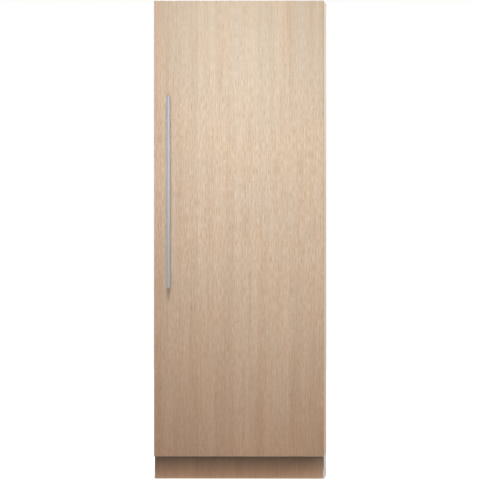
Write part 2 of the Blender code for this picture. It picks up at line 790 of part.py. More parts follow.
def dairy_box(door):
    """The closed butter and cheese box with a lid that swings up on two pins."""
    front = DOOR_BACK + GAP
    back = front + DAIRY_REACH
    wall = DAIRY_WALL
    top = DAIRY_BOTTOM + DAIRY_HEIGHT
    bounds = (-BIN_HALF, BIN_HALF, front, back, DAIRY_BOTTOM, top)
    box = make_box("dairy_box", bounds, "white_plastic", door)
    inner = BIN_HALF - wall
    floor = DAIRY_BOTTOM + wall
    cut(box, box_shape(-inner, inner, front + wall, back - wall, floor, top + OVERRUN), door)
    mouth = top - DAIRY_MOUTH
    near, far = back - wall - OVERLAP, back + OVERRUN
    cut(box, box_shape(-inner, inner, near, far, mouth, top + OVERRUN), door)
    lugs = bmesh.new()
    add_lugs(lugs, DAIRY_BOTTOM, BIN_HALF - OVERLAP, BIN_HALF + LUG_REACH, 0)
    fuse(box, lugs, door)
    place = (0, FRONT_Y + LID_AXIS_D, LID_AXIS_Z)
    lid_pivot = Pivot("dairy_lid_pivot", place, door)
    half = DIKE_INNER - LID_SIDE_GAP
    near = back + LID_FRONT_GAP
    far = near + LID_THICK
    under = LID_TOP - LID_THICK
    outline = (
        (LID_AXIS_D, LID_TOP), (LID_AXIS_D, under), (near, under), (near, LID_TOP - LID_SKIRT),
        (far, LID_TOP - LID_SKIRT), (far, LID_TOP),
    )
    shape = bmesh.new()
    add_prism(shape, "x", outline, -half, half)
    lid = make("dairy_lid", shape, "clear_plastic", lid_pivot)
    hub_end = half - LID_HUB_END
    pin_end = half + LID_PIN_LENGTH
    profile = (
        (-pin_end, LID_PIN), (-hub_end, LID_PIN), (-hub_end, LID_HUB),
        (hub_end, LID_HUB), (hub_end, LID_PIN), (pin_end, LID_PIN),
    )
    hub = bmesh.new()
    add_turned(hub, "x", LID_AXIS_D, LID_AXIS_Z, profile, SMALL_SIDES)
    fuse(lid, hub, lid_pivot)


def hinge(name, plate_bottom, pin_side):
    """A flat hinge plate fixed to the cabinet, with the pin that the door turns on."""
    left, right = AXIS_X - HINGE_LEFT, HINGE_RIGHT
    top = plate_bottom + HINGE_THICK
    bounds = (left, right, AXIS_D - HINGE_NOSE, AXIS_D + HINGE_TAIL, plate_bottom, top)
    plate = make_box(name, bounds, "zinc_steel")
    pin = bmesh.new()
    if pin_side > 0:
        start, end = top - OVERLAP, top + PIN_LENGTH
    else:
        start, end = plate_bottom - PIN_LENGTH, plate_bottom + OVERLAP
    add_rod(pin, "z", AXIS_X, AXIS_D, PIN_RADIUS, start, end)
    fuse(plate, pin)


def base_frame():
    """The folded steel base: side plates to the floor, a floor pan, roller forks and foot bosses."""
    sheet, flange = BASE_SHEET, BASE_FLANGE
    inside = HALF - sheet
    lip = TOE_HEIGHT - sheet
    right = [
        (HALF, FLOOR_CLEAR), (HALF, TOE_HEIGHT), (HALF - flange, TOE_HEIGHT),
        (HALF - flange, lip), (inside, lip), (inside, BASE_TOP),
    ]
    left = [(-x, z) for x, z in reversed(right)]
    under = [(-inside, FLOOR_CLEAR), (-inside, BASE_FLOOR), (inside, BASE_FLOOR), (inside, FLOOR_CLEAR)]
    shape = bmesh.new()
    add_prism(shape, "y", right + left + under, FACE_FRONT, DEPTH)
    base = make("base_frame", shape, "pale_steel")
    notch = bmesh.new()
    front = FACE_FRONT - OVERRUN
    low, high = BASE_FLOOR - OVERRUN, BASE_TOP + OVERRUN
    add_box(notch, -inside, inside, front, BASE_BACK_D, low, high)
    add_box(notch, -inside, inside, SHELL_BACK, DEPTH + OVERRUN, low, TOE_HEIGHT + OVERRUN)
    cut(base, notch)
    bars = bmesh.new()
    edge = inside + OVERLAP
    bar_bottom = TOE_HEIGHT - CROSS_HEIGHT
    bar_top = TOE_HEIGHT - sheet / 2
    add_box(bars, -edge, edge, BASE_BACK_D, BASE_BACK_D + CROSS_DEPTH, bar_bottom, bar_top)
    rear_front = SHELL_BACK - sheet
    add_box(bars, -edge, edge, rear_front, SHELL_BACK, BASE_TOP - OVERLAP, BASE_TOP + REAR_FLANGE)
    reach = ROLLER_WIDTH / 2 + FORK_GAP
    for x, depth in roller_places():
        for start in (x - reach - FORK_SHEET, x + reach):
            fork = (start, start + FORK_SHEET, depth - FORK_HALF, depth + FORK_HALF)
            add_box(bars, *fork, FORK_BOTTOM, BASE_FLOOR + OVERLAP)
    for x, depth in foot_places():
        add_rod(bars, "z", x, depth, BOSS_RADIUS, BASE_TOP - OVERLAP, BASE_TOP + BOSS_HEIGHT)
    fuse(base, bars)
    bores = bmesh.new()
    for x, depth in foot_places():
        radius = SPINDLE_RADIUS + SHAFT_GAP
        add_rod(bores, "z", x, depth, radius, BASE_FLOOR - OVERRUN, BASE_TOP + BOSS_HEIGHT + OVERRUN)
    for x, depth in roller_places():
        end = reach + FORK_SHEET + OVERRUN
        add_rod(bores, "x", depth, ROLLER_RADIUS, AXLE_RADIUS + SHAFT_GAP, x - end, x + end)
    cut(base, bores)


def roller_places():
    """Returns the x and depth of each rear roller's middle."""
    depth = DEPTH - ROLLER_SETBACK
    x = HALF - ROLLER_INSET
    return [(-x, depth), (x, depth)]


def foot_places():
    """Returns the x and depth of each front foot."""
    depth = FACE_FRONT + FOOT_SETBACK
    x = HALF - FOOT_INSET
    return [(-x, depth), (x, depth)]


def feet_and_rollers():
    """The two levelling feet at the front and the two rollers at the rear."""
    names = ("left", "right")
    for name, (x, depth) in zip(names, foot_places()):
        pivot = Pivot(f"foot_{name}_pivot", (x, FRONT_Y + depth, 0))
        profile = (
            (0, FOOT_RADIUS), (FOOT_PAD, FOOT_RADIUS), (FOOT_PAD, FOOT_NECK),
            (FOOT_PAD + FOOT_NECK, SPINDLE_RADIUS), (SPINDLE_TOP, SPINDLE_RADIUS),
        )
        shape = bmesh.new()
        add_turned(shape, "z", x, depth, profile, ROUND_SIDES)
        make(f"levelling_foot_{name}", shape, "black_plastic", pivot)
    for name, (x, depth) in zip(names, roller_places()):
        pivot = Pivot(f"roller_{name}_pivot", (x, FRONT_Y + depth, ROLLER_RADIUS))
        half = ROLLER_WIDTH / 2
        end = half + FORK_GAP + FORK_SHEET + AXLE_END
        rim = ROLLER_RADIUS - ROLLER_EASE
        profile = (
            (-end, AXLE_RADIUS), (-half, AXLE_RADIUS), (-half, rim),
            (ROLLER_EASE - half, ROLLER_RADIUS), (half - ROLLER_EASE, ROLLER_RADIUS),
            (half, rim), (half, AXLE_RADIUS), (end, AXLE_RADIUS),
        )
        moved = [(x + along, radius) for along, radius in profile]
        shape = bmesh.new()
        add_turned(shape, "x", depth, ROLLER_RADIUS, moved, FINE_SIDES)
        make(f"rear_roller_{name}", shape, "grey_plastic", pivot)


def toe_kick_and_grilles():
    """The wood toe board, the grille behind the door's foot and the rear cover."""
    half = HALF - BASE_SHEET - TOE_SIDE_GAP
    top = TOE_HEIGHT - TOE_TOP_GAP
    bounds = (-half, half, FACE_FRONT, FACE_FRONT + TOE_THICK, TOE_FLOOR_GAP, top)
    make_box("toe_kick_board", bounds, "wood")
    low = BOTTOM_PLATE + HINGE_THICK + GAP
    high = DECK_Z - GAP
    depths = (FACE_FRONT, FACE_FRONT + GRILLE_SHEET)
    grille = make_box("base_grille", (-SHELL_HALF, SHELL_HALF, *depths, low, high), "black_plastic")
    edge = SHELL_HALF - GRILLE_MARGIN
    slots = bmesh.new()
    through = (depths[0] - OVERRUN, depths[1] + OVERRUN)
    add_slots(slots, -edge, edge, *through, low + GRILLE_MARGIN, high - GRILLE_MARGIN, BASE_SLOT_COLUMNS)
    cut(grille, slots)
    half = HALF - max(SKIN_THICK, BASE_SHEET) - GAP
    low = BASE_TOP + GAP
    depths = (SHELL_BACK + GAP, DEPTH)
    cover = make_box("rear_cover_grille", (-half, half, *depths, low, high), "zinc_steel")
    edge = half - GRILLE_MARGIN
    inlet_left = INLET_X - INLET_WIDTH / 2 - INLET_FIT
    slots = bmesh.new()
    through = (depths[0] - OVERRUN, depths[1] + OVERRUN)
    right = inlet_left - GRILLE_MARGIN
    add_slots(slots, -edge, right, *through, low + GRILLE_MARGIN, high - GRILLE_MARGIN, REAR_SLOT_COLUMNS)
    reach = INLET_WIDTH / 2 + INLET_FIT
    rise = INLET_HEIGHT / 2 + INLET_FIT
    add_box(slots, INLET_X - reach, INLET_X + reach, *through, INLET_Z - rise, INLET_Z + rise)
    cut(cover, slots)


def power_inlet():
    """The mains inlet in the rear cover, with three flat pins in its socket."""
    half, rise = INLET_WIDTH / 2, INLET_HEIGHT / 2
    x, height = INLET_X, INLET_Z
    bounds = (x - half, x + half, DEPTH - INLET_DEPTH, DEPTH, height - rise, height + rise)
    block = make_box("power_inlet", bounds, "black_plastic")
    half, rise = SOCKET_WIDTH / 2, SOCKET_HEIGHT / 2
    floor = DEPTH - SOCKET_DEPTH
    cut(block, box_shape(x - half, x + half, floor, DEPTH + OVERRUN, height - rise, height + rise))
    pins = bmesh.new()
    half, rise = BLADE_PIN_THICK / 2, BLADE_PIN_WIDTH / 2
    ends = (floor - OVERLAP, floor + BLADE_PIN_LENGTH)
    for index in (-1, 0, 1):
        x = INLET_X + BLADE_PIN_SPREAD * index
        add_box(pins, x - half, x + half, *ends, height - rise, height + rise)
    fuse(block, pins)


def compressor():
    """The hermetic compressor on its base plate, with rubber feet and two tube stubs."""
    foot_bottom = BASE_TOP + GAP
    plate_bottom = foot_bottom + COMPRESSOR_LIFT
    body_bottom = plate_bottom + COMPRESSOR_PLATE - OVERLAP
    profile = []
    for rise_share, radius_share in COMPRESSOR_SHARES:
        height = body_bottom + COMPRESSOR_BODY * rise_share
        profile.append((height, COMPRESSOR_RADIUS * radius_share))
    shape = bmesh.new()
    add_turned(shape, "z", COMPRESSOR_X, COMPRESSOR_D, profile, ROUND_SIDES)
    body = make("compressor", shape, "black_enamel")
    half, deep = COMPRESSOR_PLATE_WIDTH / 2, COMPRESSOR_PLATE_DEPTH / 2
    plate = (
        COMPRESSOR_X - half, COMPRESSOR_X + half, COMPRESSOR_D - deep, COMPRESSOR_D + deep,
        plate_bottom, plate_bottom + COMPRESSOR_PLATE,
    )
    fuse(body, box_shape(*plate))
    extras = bmesh.new()
    for side in (-1, 1):
        for end in (-1, 1):
            x = COMPRESSOR_X + side * (half - COMPRESSOR_FOOT_INSET)
            depth = COMPRESSOR_D + end * (deep - COMPRESSOR_FOOT_INSET)
            top = plate_bottom + COMPRESSOR_PLATE / 2
            add_rod(extras, "z", x, depth, COMPRESSOR_FOOT, foot_bottom, top, SMALL_SIDES)
    middle = body_bottom + COMPRESSOR_BODY / 3
    start = COMPRESSOR_X - COMPRESSOR_RADIUS - STUB_LENGTH
    for side in (-1, 1):
        depth = COMPRESSOR_D + side * STUB_SPREAD
        add_rod(extras, "x", depth, middle, STUB_RADIUS, start, COMPRESSOR_X, SMALL_SIDES)
    fuse(body, extras)


def condenser_and_fan():
    """The finned condenser, the fan shroud behind it and the fan wheel."""
    floor = BASE_TOP + GAP
    back = CONDENSER_D + CONDENSER_DEPTH
    bounds = (CONDENSER_LEFT, CONDENSER_RIGHT, CONDENSER_D, back, floor, floor + CONDENSER_HEIGHT)
    make_fin_block("condenser", *bounds, CONDENSER_BEND_COUNT, "aluminium")
    x = (CONDENSER_LEFT + CONDENSER_RIGHT) / 2
    half = SHROUD_SIZE / 2
    height = floor + half
    front = back + SHROUD_SPACE
    rear = front + SHROUD_DEPTH
    bounds = (x - half, x + half, front, rear, floor, floor + SHROUD_SIZE)
    shroud = make_box("condenser_fan_shroud", bounds, "black_plastic")
    bore = bmesh.new()
    add_rod(bore, "y", x, height, SHROUD_BORE, front - OVERRUN, rear + OVERRUN, FINE_SIDES)
    cut(shroud, bore)
    arm = SHROUD_ARM / 2
    reach = SHROUD_BORE + OVERLAP
    arm_front = rear - SHROUD_ARM_DEPTH
    fuse(shroud, box_shape(x - reach, x + reach, arm_front, rear - GAP, height - arm, height + arm))
    boss = bmesh.new()
    boss_front = rear - FAN_BOSS_DEPTH
    add_rod(boss, "y", x, height, FAN_HUB, boss_front, rear - OVERLAP)
    fuse(shroud, boss)
    hub_front = boss_front - GAP - FAN_HUB_DEPTH
    pivot = Pivot("condenser_fan_pivot", (x, FRONT_Y + hub_front, height))
    make_fan("condenser_fan_wheel", x, hub_front, height, SHROUD_BORE - FAN_TIP_GAP, "grey_plastic", pivot)


def drain_pan():
    """The open pan on the base floor that holds defrost water."""
    floor = BASE_TOP + GAP
    middle = (DRAIN_LEFT + DRAIN_RIGHT) / 2
    half = (DRAIN_RIGHT - DRAIN_LEFT) / 2
    top = floor + DRAIN_HEIGHT
    outer = round_front_outline(half, DRAIN_FRONT, DRAIN_BACK, DRAIN_CORNER)
    inner = round_front_outline(
        half - DRAIN_WALL, DRAIN_FRONT + DRAIN_WALL, DRAIN_BACK - DRAIN_WALL,
        DRAIN_CORNER - DRAIN_WALL,
    )
    shape = bmesh.new()
    add_prism(shape, "z", [(x + middle, depth) for x, depth in outer], floor, top)
    tray = make("drain_pan", shape, "grey_plastic")
    hollow = bmesh.new()
    inside = [(x + middle, depth) for x, depth in inner]
    add_prism(hollow, "z", inside, floor + DRAIN_WALL, top + OVERRUN)
    cut(tray, hollow)


def cabinet():
    """The steel shell with its deck, foam, liner, face frame, back panel and wood side skins."""
    bottom = TOE_HEIGHT + GAP
    bounds = (-SHELL_HALF, SHELL_HALF, CABINET_FRONT, SHELL_BACK, bottom, CABINET_TOP)
    shell = make_box("cabinet_shell", bounds, "zinc_steel")
    front, back = CABINET_FRONT - OVERRUN, SHELL_BACK + OVERRUN
    deck_top = DECK_Z + SHELL_SHEET
    roof = CABINET_TOP - SHELL_SHEET
    hollow = bmesh.new()
    add_box(hollow, -SHELL_INNER, SHELL_INNER, front, back, deck_top, roof)
    add_box(hollow, -SHELL_INNER, SHELL_INNER, front, back, bottom - OVERRUN, DECK_Z)
    cut(shell, hollow)
    liner = LINER_THICK
    half = CAVITY_HALF + liner
    box = (-half, half, CABINET_FRONT, CAVITY_BACK + liner, CAVITY_BOTTOM - liner, CAVITY_TOP + liner)
    lining = make_box("inner_liner", box, "white_plastic")
    front = CABINET_FRONT - OVERRUN
    cut(lining, box_shape(-CAVITY_HALF, CAVITY_HALF, front, CAVITY_BACK, CAVITY_BOTTOM, CAVITY_TOP))
    outer = SHELL_INNER - GAP
    bounds = (-outer, outer, CABINET_FRONT, SHELL_BACK, deck_top + GAP, roof - GAP)
    foam = make_box("cabinet_insulation", bounds, "foam")
    half = half + GAP
    hole = (
        -half, half, front, CAVITY_BACK + liner + GAP,
        CAVITY_BOTTOM - liner - GAP, CAVITY_TOP + liner + GAP,
    )
    cut(foam, box_shape(*hole))
    outer = (-SHELL_HALF, SHELL_HALF, DECK_Z, CABINET_TOP)
    inner = (-CAVITY_HALF, CAVITY_HALF, CAVITY_BOTTOM, CAVITY_TOP)
    make_frame("face_frame", outer, inner, (FACE_FRONT, FACE_FRONT + FACE_THICK), "white_plastic")
    bounds = (-SHELL_HALF, SHELL_HALF, SHELL_BACK + GAP, DEPTH, DECK_Z, CABINET_TOP)
    make_box("back_panel", bounds, "zinc_steel")
    bottom = TOE_HEIGHT + GAP
    inside = HALF - SKIN_THICK
    make_box("side_skin_left", (-HALF, -inside, FACE_FRONT, DEPTH, bottom, HEIGHT), "wood")
    make_box("side_skin_right", (inside, HALF, FACE_FRONT, DEPTH, bottom, HEIGHT), "wood")


def rear_duct():
    """The air duct on the back wall, the evaporator in it and its fan."""
    back = CAVITY_BACK - GAP
    bounds = (-DUCT_HALF, DUCT_HALF, DUCT_FRONT, back, DUCT_BOTTOM, DUCT_TOP)
    duct = make_box("rear_air_duct", bounds, "white_plastic")
    inner = DUCT_HALF - DUCT_WALL
    low, high = DUCT_BOTTOM + DUCT_WALL, DUCT_TOP - DUCT_WALL
    plate_back = DUCT_FRONT + DUCT_WALL
    cut(duct, box_shape(-inner, inner, plate_back, back + OVERRUN, low, high))
    slots = bmesh.new()
    front, rear = DUCT_FRONT - OVERRUN, plate_back + OVERRUN
    rows = int((DUCT_TOP - DUCT_BOTTOM - AIR_SLOT_FIRST) / AIR_SLOT_PITCH)
    for row in range(rows):
        bottom = DUCT_BOTTOM + AIR_SLOT_FIRST + AIR_SLOT_PITCH * row
        top = bottom + AIR_SLOT_HEIGHT
        add_box(slots, AIR_SLOT_INNER, AIR_SLOT_OUTER, front, rear, bottom, top)
        add_box(slots, -AIR_SLOT_OUTER, -AIR_SLOT_INNER, front, rear, bottom, top)
    for row in range(INTAKE_ROW_COUNT):
        bottom = DUCT_BOTTOM + INTAKE_LIFT * (row + 1)
        add_box(slots, -INTAKE_HALF, INTAKE_HALF, front, rear, bottom, bottom + AIR_SLOT_HEIGHT)
    cut(duct, slots)
    height = DUCT_BOTTOM + EVAP_FAN_LIFT
    boss = bmesh.new()
    boss_back = plate_back + FAN_BOSS_DEPTH
    add_rod(boss, "y", 0, height, FAN_HUB, plate_back - OVERLAP, boss_back)
    fuse(duct, boss)
    hub_front = boss_back + GAP
    pivot = Pivot("evaporator_fan_pivot", (0, FRONT_Y + hub_front, height))
    make_fan("evaporator_fan_wheel", 0, hub_front, height, EVAP_FAN_RADIUS, "grey_plastic", pivot)
    bottom = DUCT_BOTTOM + EVAP_LIFT
    bounds = (-EVAP_HALF, EVAP_HALF, plate_back + GAP, back - GAP, bottom, bottom + EVAP_HEIGHT)
    make_fin_block("evaporator", *bounds, EVAP_BEND_COUNT, "aluminium")


def shelf_tracks():
    """The two slotted uprights that the shelf brackets hook into."""
    bottom, top = DUCT_BOTTOM + TRACK_MARGIN, DUCT_TOP - TRACK_MARGIN
    back = DUCT_FRONT - GAP
    pitch = SHELF_PITCH / SLOTS_PER_SHELF
    rise, reach = TRACK_SLOT_HEIGHT / 2, TRACK_SLOT_WIDTH / 2
    for side, name in ((-1, "left"), (1, "right")):
        x = side * TRACK_X
        half = TRACK_WIDTH / 2
        bounds = (x - half, x + half, TRACK_FRONT, back, bottom, top)
        track = make_box(f"shelf_track_{name}", bounds, "zinc_steel")
        slots = bmesh.new()
        height = CRISPER_TOP - HOOK_DROP
        while height < top - TRACK_SLOT_HEIGHT:
            if height > bottom + TRACK_SLOT_HEIGHT:
                floor = TRACK_FRONT + TRACK_SLOT_DEPTH
                depths = (TRACK_FRONT - OVERRUN, floor)
                add_box(slots, x - reach, x + reach, *depths, height - rise, height + rise)
            height += pitch
        cut(track, slots)


def glass_shelf(prefix, level, half, back):
    """A glass plate in a rimmed tray; returns the tray, whose top is just above the glass."""
    low, high = level - SHELF_DROP, level + SHELF_RISE
    tray = make_box(f"{prefix}_frame", (-half, half, SHELF_FRONT, back, low, high), "white_plastic")
    inner = half - SHELF_RIM
    front, rear = SHELF_FRONT + SHELF_RIM, back - SHELF_RIM
    seat = level - GLASS_THICK - GAP
    cut(tray, box_shape(-inner, inner, front, rear, seat, high + OVERRUN))
    ledge = SHELF_LEDGE
    opening = (ledge - inner, inner - ledge, front + ledge, rear - ledge, low - OVERRUN, seat + OVERLAP)
    cut(tray, box_shape(*opening))
    pane = (GAP - inner, inner - GAP, front + GAP, rear - GAP, level - GLASS_THICK, level)
    make_box(f"{prefix}_glass", pane, "glass")
    return tray


def shelves():
    """The glass shelves on brackets that hook into the uprights."""
    for index in range(SHELF_COUNT):
        level = CRISPER_TOP + SHELF_PITCH * (index + 1)
        tray = glass_shelf(f"shelf_{index + 1}", level, SHELF_HALF, SHELF_BACK)
        low = level - SHELF_DROP
        hook = level - HOOK_DROP
        tip = SHELF_BACK - BRACKET_REACH
        outline = (
            (SHELF_BACK, low + BRACKET_SEAT), (SHELF_BACK, hook + HOOK_HALF),
            (SHELF_BACK + GAP + HOOK_REACH, hook + HOOK_HALF),
            (SHELF_BACK + GAP + HOOK_REACH, hook - HOOK_HALF), (SHELF_BACK, hook - HOOK_HALF),
            (SHELF_BACK, low - BRACKET_DROP), (SHELF_BACK - BRACKET_HEEL, low - BRACKET_DROP),
            (tip, low - BRACKET_TIP), (tip, low + BRACKET_SEAT),
        )
        brackets = bmesh.new()
        for x in (-TRACK_X, TRACK_X):
            half = BRACKET_THICK / 2
            add_prism(brackets, "x", outline, x - half, x + half)
        fuse(tray, brackets)


def crisper_cover():
    """The glass cover over the drawers, with the humidity slide in its front trim."""
    back = DRAWER_BACK
    half = CAVITY_HALF - GAP
    tray = glass_shelf("crisper_cover", CRISPER_TOP, half, back)
    trim_top = CRISPER_TOP - SHELF_DROP + OVERLAP
    trim_low = CRISPER_TOP - CRISPER_TRIM_DROP
    trim_half = crisper_ledge_inner() - GAP
    trim_front = SHELF_FRONT + GAP
    trim_back = SHELF_FRONT + CRISPER_TRIM_DEPTH
    fuse(tray, box_shape(-trim_half, trim_half, trim_front, trim_back, trim_low, trim_top))
    middle = CRISPER_TOP - SLIDER_POCKET_DROP
    rise = SLIDER_POCKET_HEIGHT / 2
    floor = trim_front + SLIDER_POCKET_DEPTH
    reach = SLIDER_POCKET_HALF
    cut(tray, box_shape(-reach, reach, SHELF_FRONT - OVERRUN, floor, middle - rise, middle + rise))
    vents = bmesh.new()
    slot = VENT_SLOT_HEIGHT / 2
    for index in (-1, 0, 1):
        x = VENT_SLOT_PITCH * index
        left, right = x - VENT_SLOT_HALF, x + VENT_SLOT_HALF
        add_box(vents, left, right, floor - OVERLAP, SHELF_FRONT + SHELF_RIM + SHELF_LEDGE + OVERRUN,
                middle - slot, middle + slot)
    cut(tray, vents)
    pivot = Pivot("humidity_slide_pivot", (0, FRONT_Y + floor, middle))
    rise = rise - GAP
    proud = SHELF_FRONT - SLIDER_NUB
    shape = bmesh.new()
    outline = (
        (-SLIDER_HALF, floor - GAP), (-SLIDER_HALF, SHELF_FRONT), (-SLIDER_NUB_HALF, SHELF_FRONT),
        (-SLIDER_NUB_HALF, proud), (SLIDER_NUB_HALF, proud), (SLIDER_NUB_HALF, SHELF_FRONT),
        (SLIDER_HALF, SHELF_FRONT), (SLIDER_HALF, floor - GAP),
    )
    add_prism(shape, "z", outline, middle - rise, middle + rise)
    make("humidity_slide", shape, "grey_plastic", pivot)


def crisper_ledge_inner():
    """Returns how far from the middle the drawer rails' ledges begin."""
    return DRAWER_HALF + RAIL_SIDE_GAP


def drawer_levels():
    """Returns the height of each drawer's underside."""
    return [DRAWER_BOTTOM + DRAWER_SPACING * index for index in range(DRAWER_COUNT)]


def drawer_rails():
    """The moulded side pieces whose ledges carry the drawers and the glass cover."""
    outer = CAVITY_HALF - GAP
    wall = outer - RAIL_SHEET
    ledge = crisper_ledge_inner()
    bottom = CAVITY_BOTTOM + GAP
    top = CRISPER_TOP - SHELF_DROP - GAP
    under = top - RAIL_LEDGE
    outline = [(outer, bottom), (outer, top), (ledge, top), (ledge, under), (wall, under)]
    for level in reversed(drawer_levels()):
        high = level + DRAWER_HEIGHT - LIP_DROP - GAP
        low = high - RAIL_LEDGE
        outline.extend(((wall, high), (ledge, high), (ledge, low), (wall, low)))
    outline.append((wall, bottom))
    front = DRAWER_FRONT + DRAWER_FRONT_THICK + RAIL_FRONT_GAP
    for side, name in ((-1, "left"), (1, "right")):
        shape = bmesh.new()
        add_prism(shape, "y", [(side * x, z) for x, z in outline], front, DRAWER_BACK)
        make(f"drawer_rail_{name}", shape, "grey_plastic")


def drawers():
    """The two crisper drawers, each a clear bin with a front plate and a pull along its top."""
    front = DRAWER_FRONT + DRAWER_FRONT_THICK + GAP
    half, wall = DRAWER_HALF, DRAWER_WALL
    for level, name in zip(drawer_levels(), ("lower", "upper")):
        top = level + DRAWER_HEIGHT
        pivot = Pivot(f"drawer_{name}_slide", (0, FRONT_Y + DRAWER_FRONT, level))
        bounds = (-half, half, front, DRAWER_BACK, level, top)
        tub = make_box(f"drawer_bin_{name}", bounds, "clear_plastic", pivot)
        hollow = (wall - half, half - wall, front + wall, DRAWER_BACK - wall, level + wall, top + OVERRUN)
        cut(tub, box_shape(*hollow), pivot)
        lips = bmesh.new()
        low = top - LIP_DROP
        for start, end in ((half - OVERLAP, half + LIP_REACH), (-half - LIP_REACH, OVERLAP - half)):
            add_box(lips, start, end, front + LIP_END, DRAWER_BACK - LIP_END, low, low + LIP_THICK)
        fuse(tub, lips, pivot)
        high = top + DRAWER_FRONT_RAISE
        outline = (
            (DRAWER_FRONT, level), (front - GAP, level), (front - GAP, high),
            (DRAWER_FRONT - PULL_REACH, high), (DRAWER_FRONT - PULL_REACH, high - PULL_HEIGHT),
            (DRAWER_FRONT, high - PULL_HEIGHT),
        )
        shape = bmesh.new()
        add_prism(shape, "x", outline, -DRAWER_FRONT_HALF, DRAWER_FRONT_HALF)
        make(f"drawer_front_{name}", shape, "clear_plastic", pivot)


def light_and_controls():
    """The ceiling light and the control bar with its three sprung keys."""
    ceiling = CAVITY_TOP - GAP
    back = LIGHT_FRONT + LIGHT_DEPTH
    bounds = (-LIGHT_HALF, LIGHT_HALF, LIGHT_FRONT, back, ceiling - LIGHT_THICK, ceiling)
    ease(make_box("ceiling_light_lens", bounds, "light_lens"), LIGHT_ROUND, PANEL_EASE_STEPS)
    front, back = SHELF_FRONT, SHELF_FRONT + CONTROL_DEPTH
    bounds = (-CONTROL_HALF, CONTROL_HALF, front, back, ceiling - CONTROL_HEIGHT, ceiling)
    housing = make_box("control_housing", bounds, "white_plastic")
    middle = ceiling - CONTROL_HEIGHT / 2
    pockets = bmesh.new()
    for index in range(KEY_COUNT):
        x = KEY_PITCH * (index - (KEY_COUNT - 1) / 2)
        half, rise = KEY_HALF, KEY_HEIGHT / 2
        pivot = Pivot(f"control_key_{index + 1}_slide", (x, FRONT_Y + front, middle))
        key = (x - half, x + half, front - KEY_PROUD, front + KEY_BODY, middle - rise, middle + rise)
        make_box(f"control_key_{index + 1}", key, "grey_plastic", pivot)
        half, rise = half + KEY_FIT, rise + KEY_FIT
        depths = (front - OVERRUN, front + KEY_POCKET)
        add_box(pockets, x - half, x + half, *depths, middle - rise, middle + rise)
    cut(housing, pockets)


def main():
    """Builds the refrigerator, fixed pieces first and then the door and all that it carries."""
    clear_scene()
    base_frame()
    feet_and_rollers()
    toe_kick_and_grilles()
    power_inlet()
    compressor()
    condenser_and_fan()
    drain_pan()
    cabinet()
    rear_duct()
    shelf_tracks()
    shelves()
    crisper_cover()
    drawer_rails()
    drawers()
    light_and_controls()
    hinge("hinge_plate_top", TOP_PLATE, -1)
    hinge("hinge_plate_bottom", BOTTOM_PLATE, 1)
    door = Pivot("door_hinge", (AXIS_X, FRONT_Y + AXIS_D, 0))
    door_panel(door)
    door_handle(door)
    door_box(door)
    door_dike(door)
    door_bins(door)
    dairy_box(door)


main()
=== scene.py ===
import json
import math
from functools import partial

import bmesh
import bpy
from mathutils import Matrix, Vector

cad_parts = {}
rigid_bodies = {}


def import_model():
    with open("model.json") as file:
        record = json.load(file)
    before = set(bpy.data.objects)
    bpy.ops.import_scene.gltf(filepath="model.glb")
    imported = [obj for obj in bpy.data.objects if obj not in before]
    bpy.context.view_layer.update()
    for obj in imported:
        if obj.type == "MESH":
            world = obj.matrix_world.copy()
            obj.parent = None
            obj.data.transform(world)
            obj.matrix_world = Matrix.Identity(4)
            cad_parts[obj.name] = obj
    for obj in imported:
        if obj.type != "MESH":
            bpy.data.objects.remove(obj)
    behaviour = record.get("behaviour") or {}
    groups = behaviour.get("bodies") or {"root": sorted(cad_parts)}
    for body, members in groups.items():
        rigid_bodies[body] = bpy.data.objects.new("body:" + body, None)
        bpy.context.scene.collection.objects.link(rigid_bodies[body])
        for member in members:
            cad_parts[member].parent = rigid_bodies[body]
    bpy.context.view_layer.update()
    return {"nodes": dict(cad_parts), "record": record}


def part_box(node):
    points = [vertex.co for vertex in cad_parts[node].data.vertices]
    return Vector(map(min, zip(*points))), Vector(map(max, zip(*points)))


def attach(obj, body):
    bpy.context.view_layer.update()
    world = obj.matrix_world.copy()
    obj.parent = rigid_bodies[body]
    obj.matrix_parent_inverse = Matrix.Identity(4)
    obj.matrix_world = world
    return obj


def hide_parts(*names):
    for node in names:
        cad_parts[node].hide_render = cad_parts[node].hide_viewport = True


bl_info = {
    "name": "Column refrigerator",
    "version": (1, 0, 0),
    "blender": (4, 5, 0),
    "location": "3D View > Sidebar > Fridge",
    "description": "Dresses the packed refrigerator with veneer, steel, liner, glass and bins",
    "category": "Object",
}

for old in list(bpy.data.objects):
    bpy.data.objects.remove(old, do_unlink=True)
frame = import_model()
NODES = frame["nodes"]
BODIES = frame["record"]["behaviour"]["bodies"]
BODY_OF = {node: body for body, nodes in BODIES.items() for node in nodes}
SLOT_OF = {part["node"]: part["material_slot"] for part in frame["record"]["subparts"]}
PANEL_LOW, PANEL_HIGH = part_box("door_panel")
LEFT, FRONT, TOP = PANEL_LOW.x, PANEL_LOW.y, PANEL_HIGH.z
WHITE = (1.0, 1.0, 1.0, 1.0)
FAMILIES = ("ShaderNode", "GeometryNode", "FunctionNode", "")
# Vertices closer than this are one.
MERGE = 1e-6
# A screwed sheet at the back lies this much deeper than its box, which leaves room for the heads.
HEAD_ROOM = 0.0004


def hex_colour(text):
    """Turns an sRGB hex colour into the linear colour that Blender keeps."""
    parts = [int(text[i:i + 2], 16) / 255 for i in (1, 3, 5)]
    return (*[c / 12.92 if c <= 0.04045 else ((c + 0.055) / 1.055) ** 2.4 for c in parts], 1.0)


def tint(label, text, about):
    """A colour that the panel can change."""
    return bpy.props.FloatVectorProperty(name=label, description=about, subtype="COLOR", size=4,
                                         min=0, max=1, default=hex_colour(text))


def metres(label, value, about):
    """A length that the panel can change."""
    return bpy.props.FloatProperty(
        name=label, description=about, default=value, min=0, precision=4, unit="LENGTH")


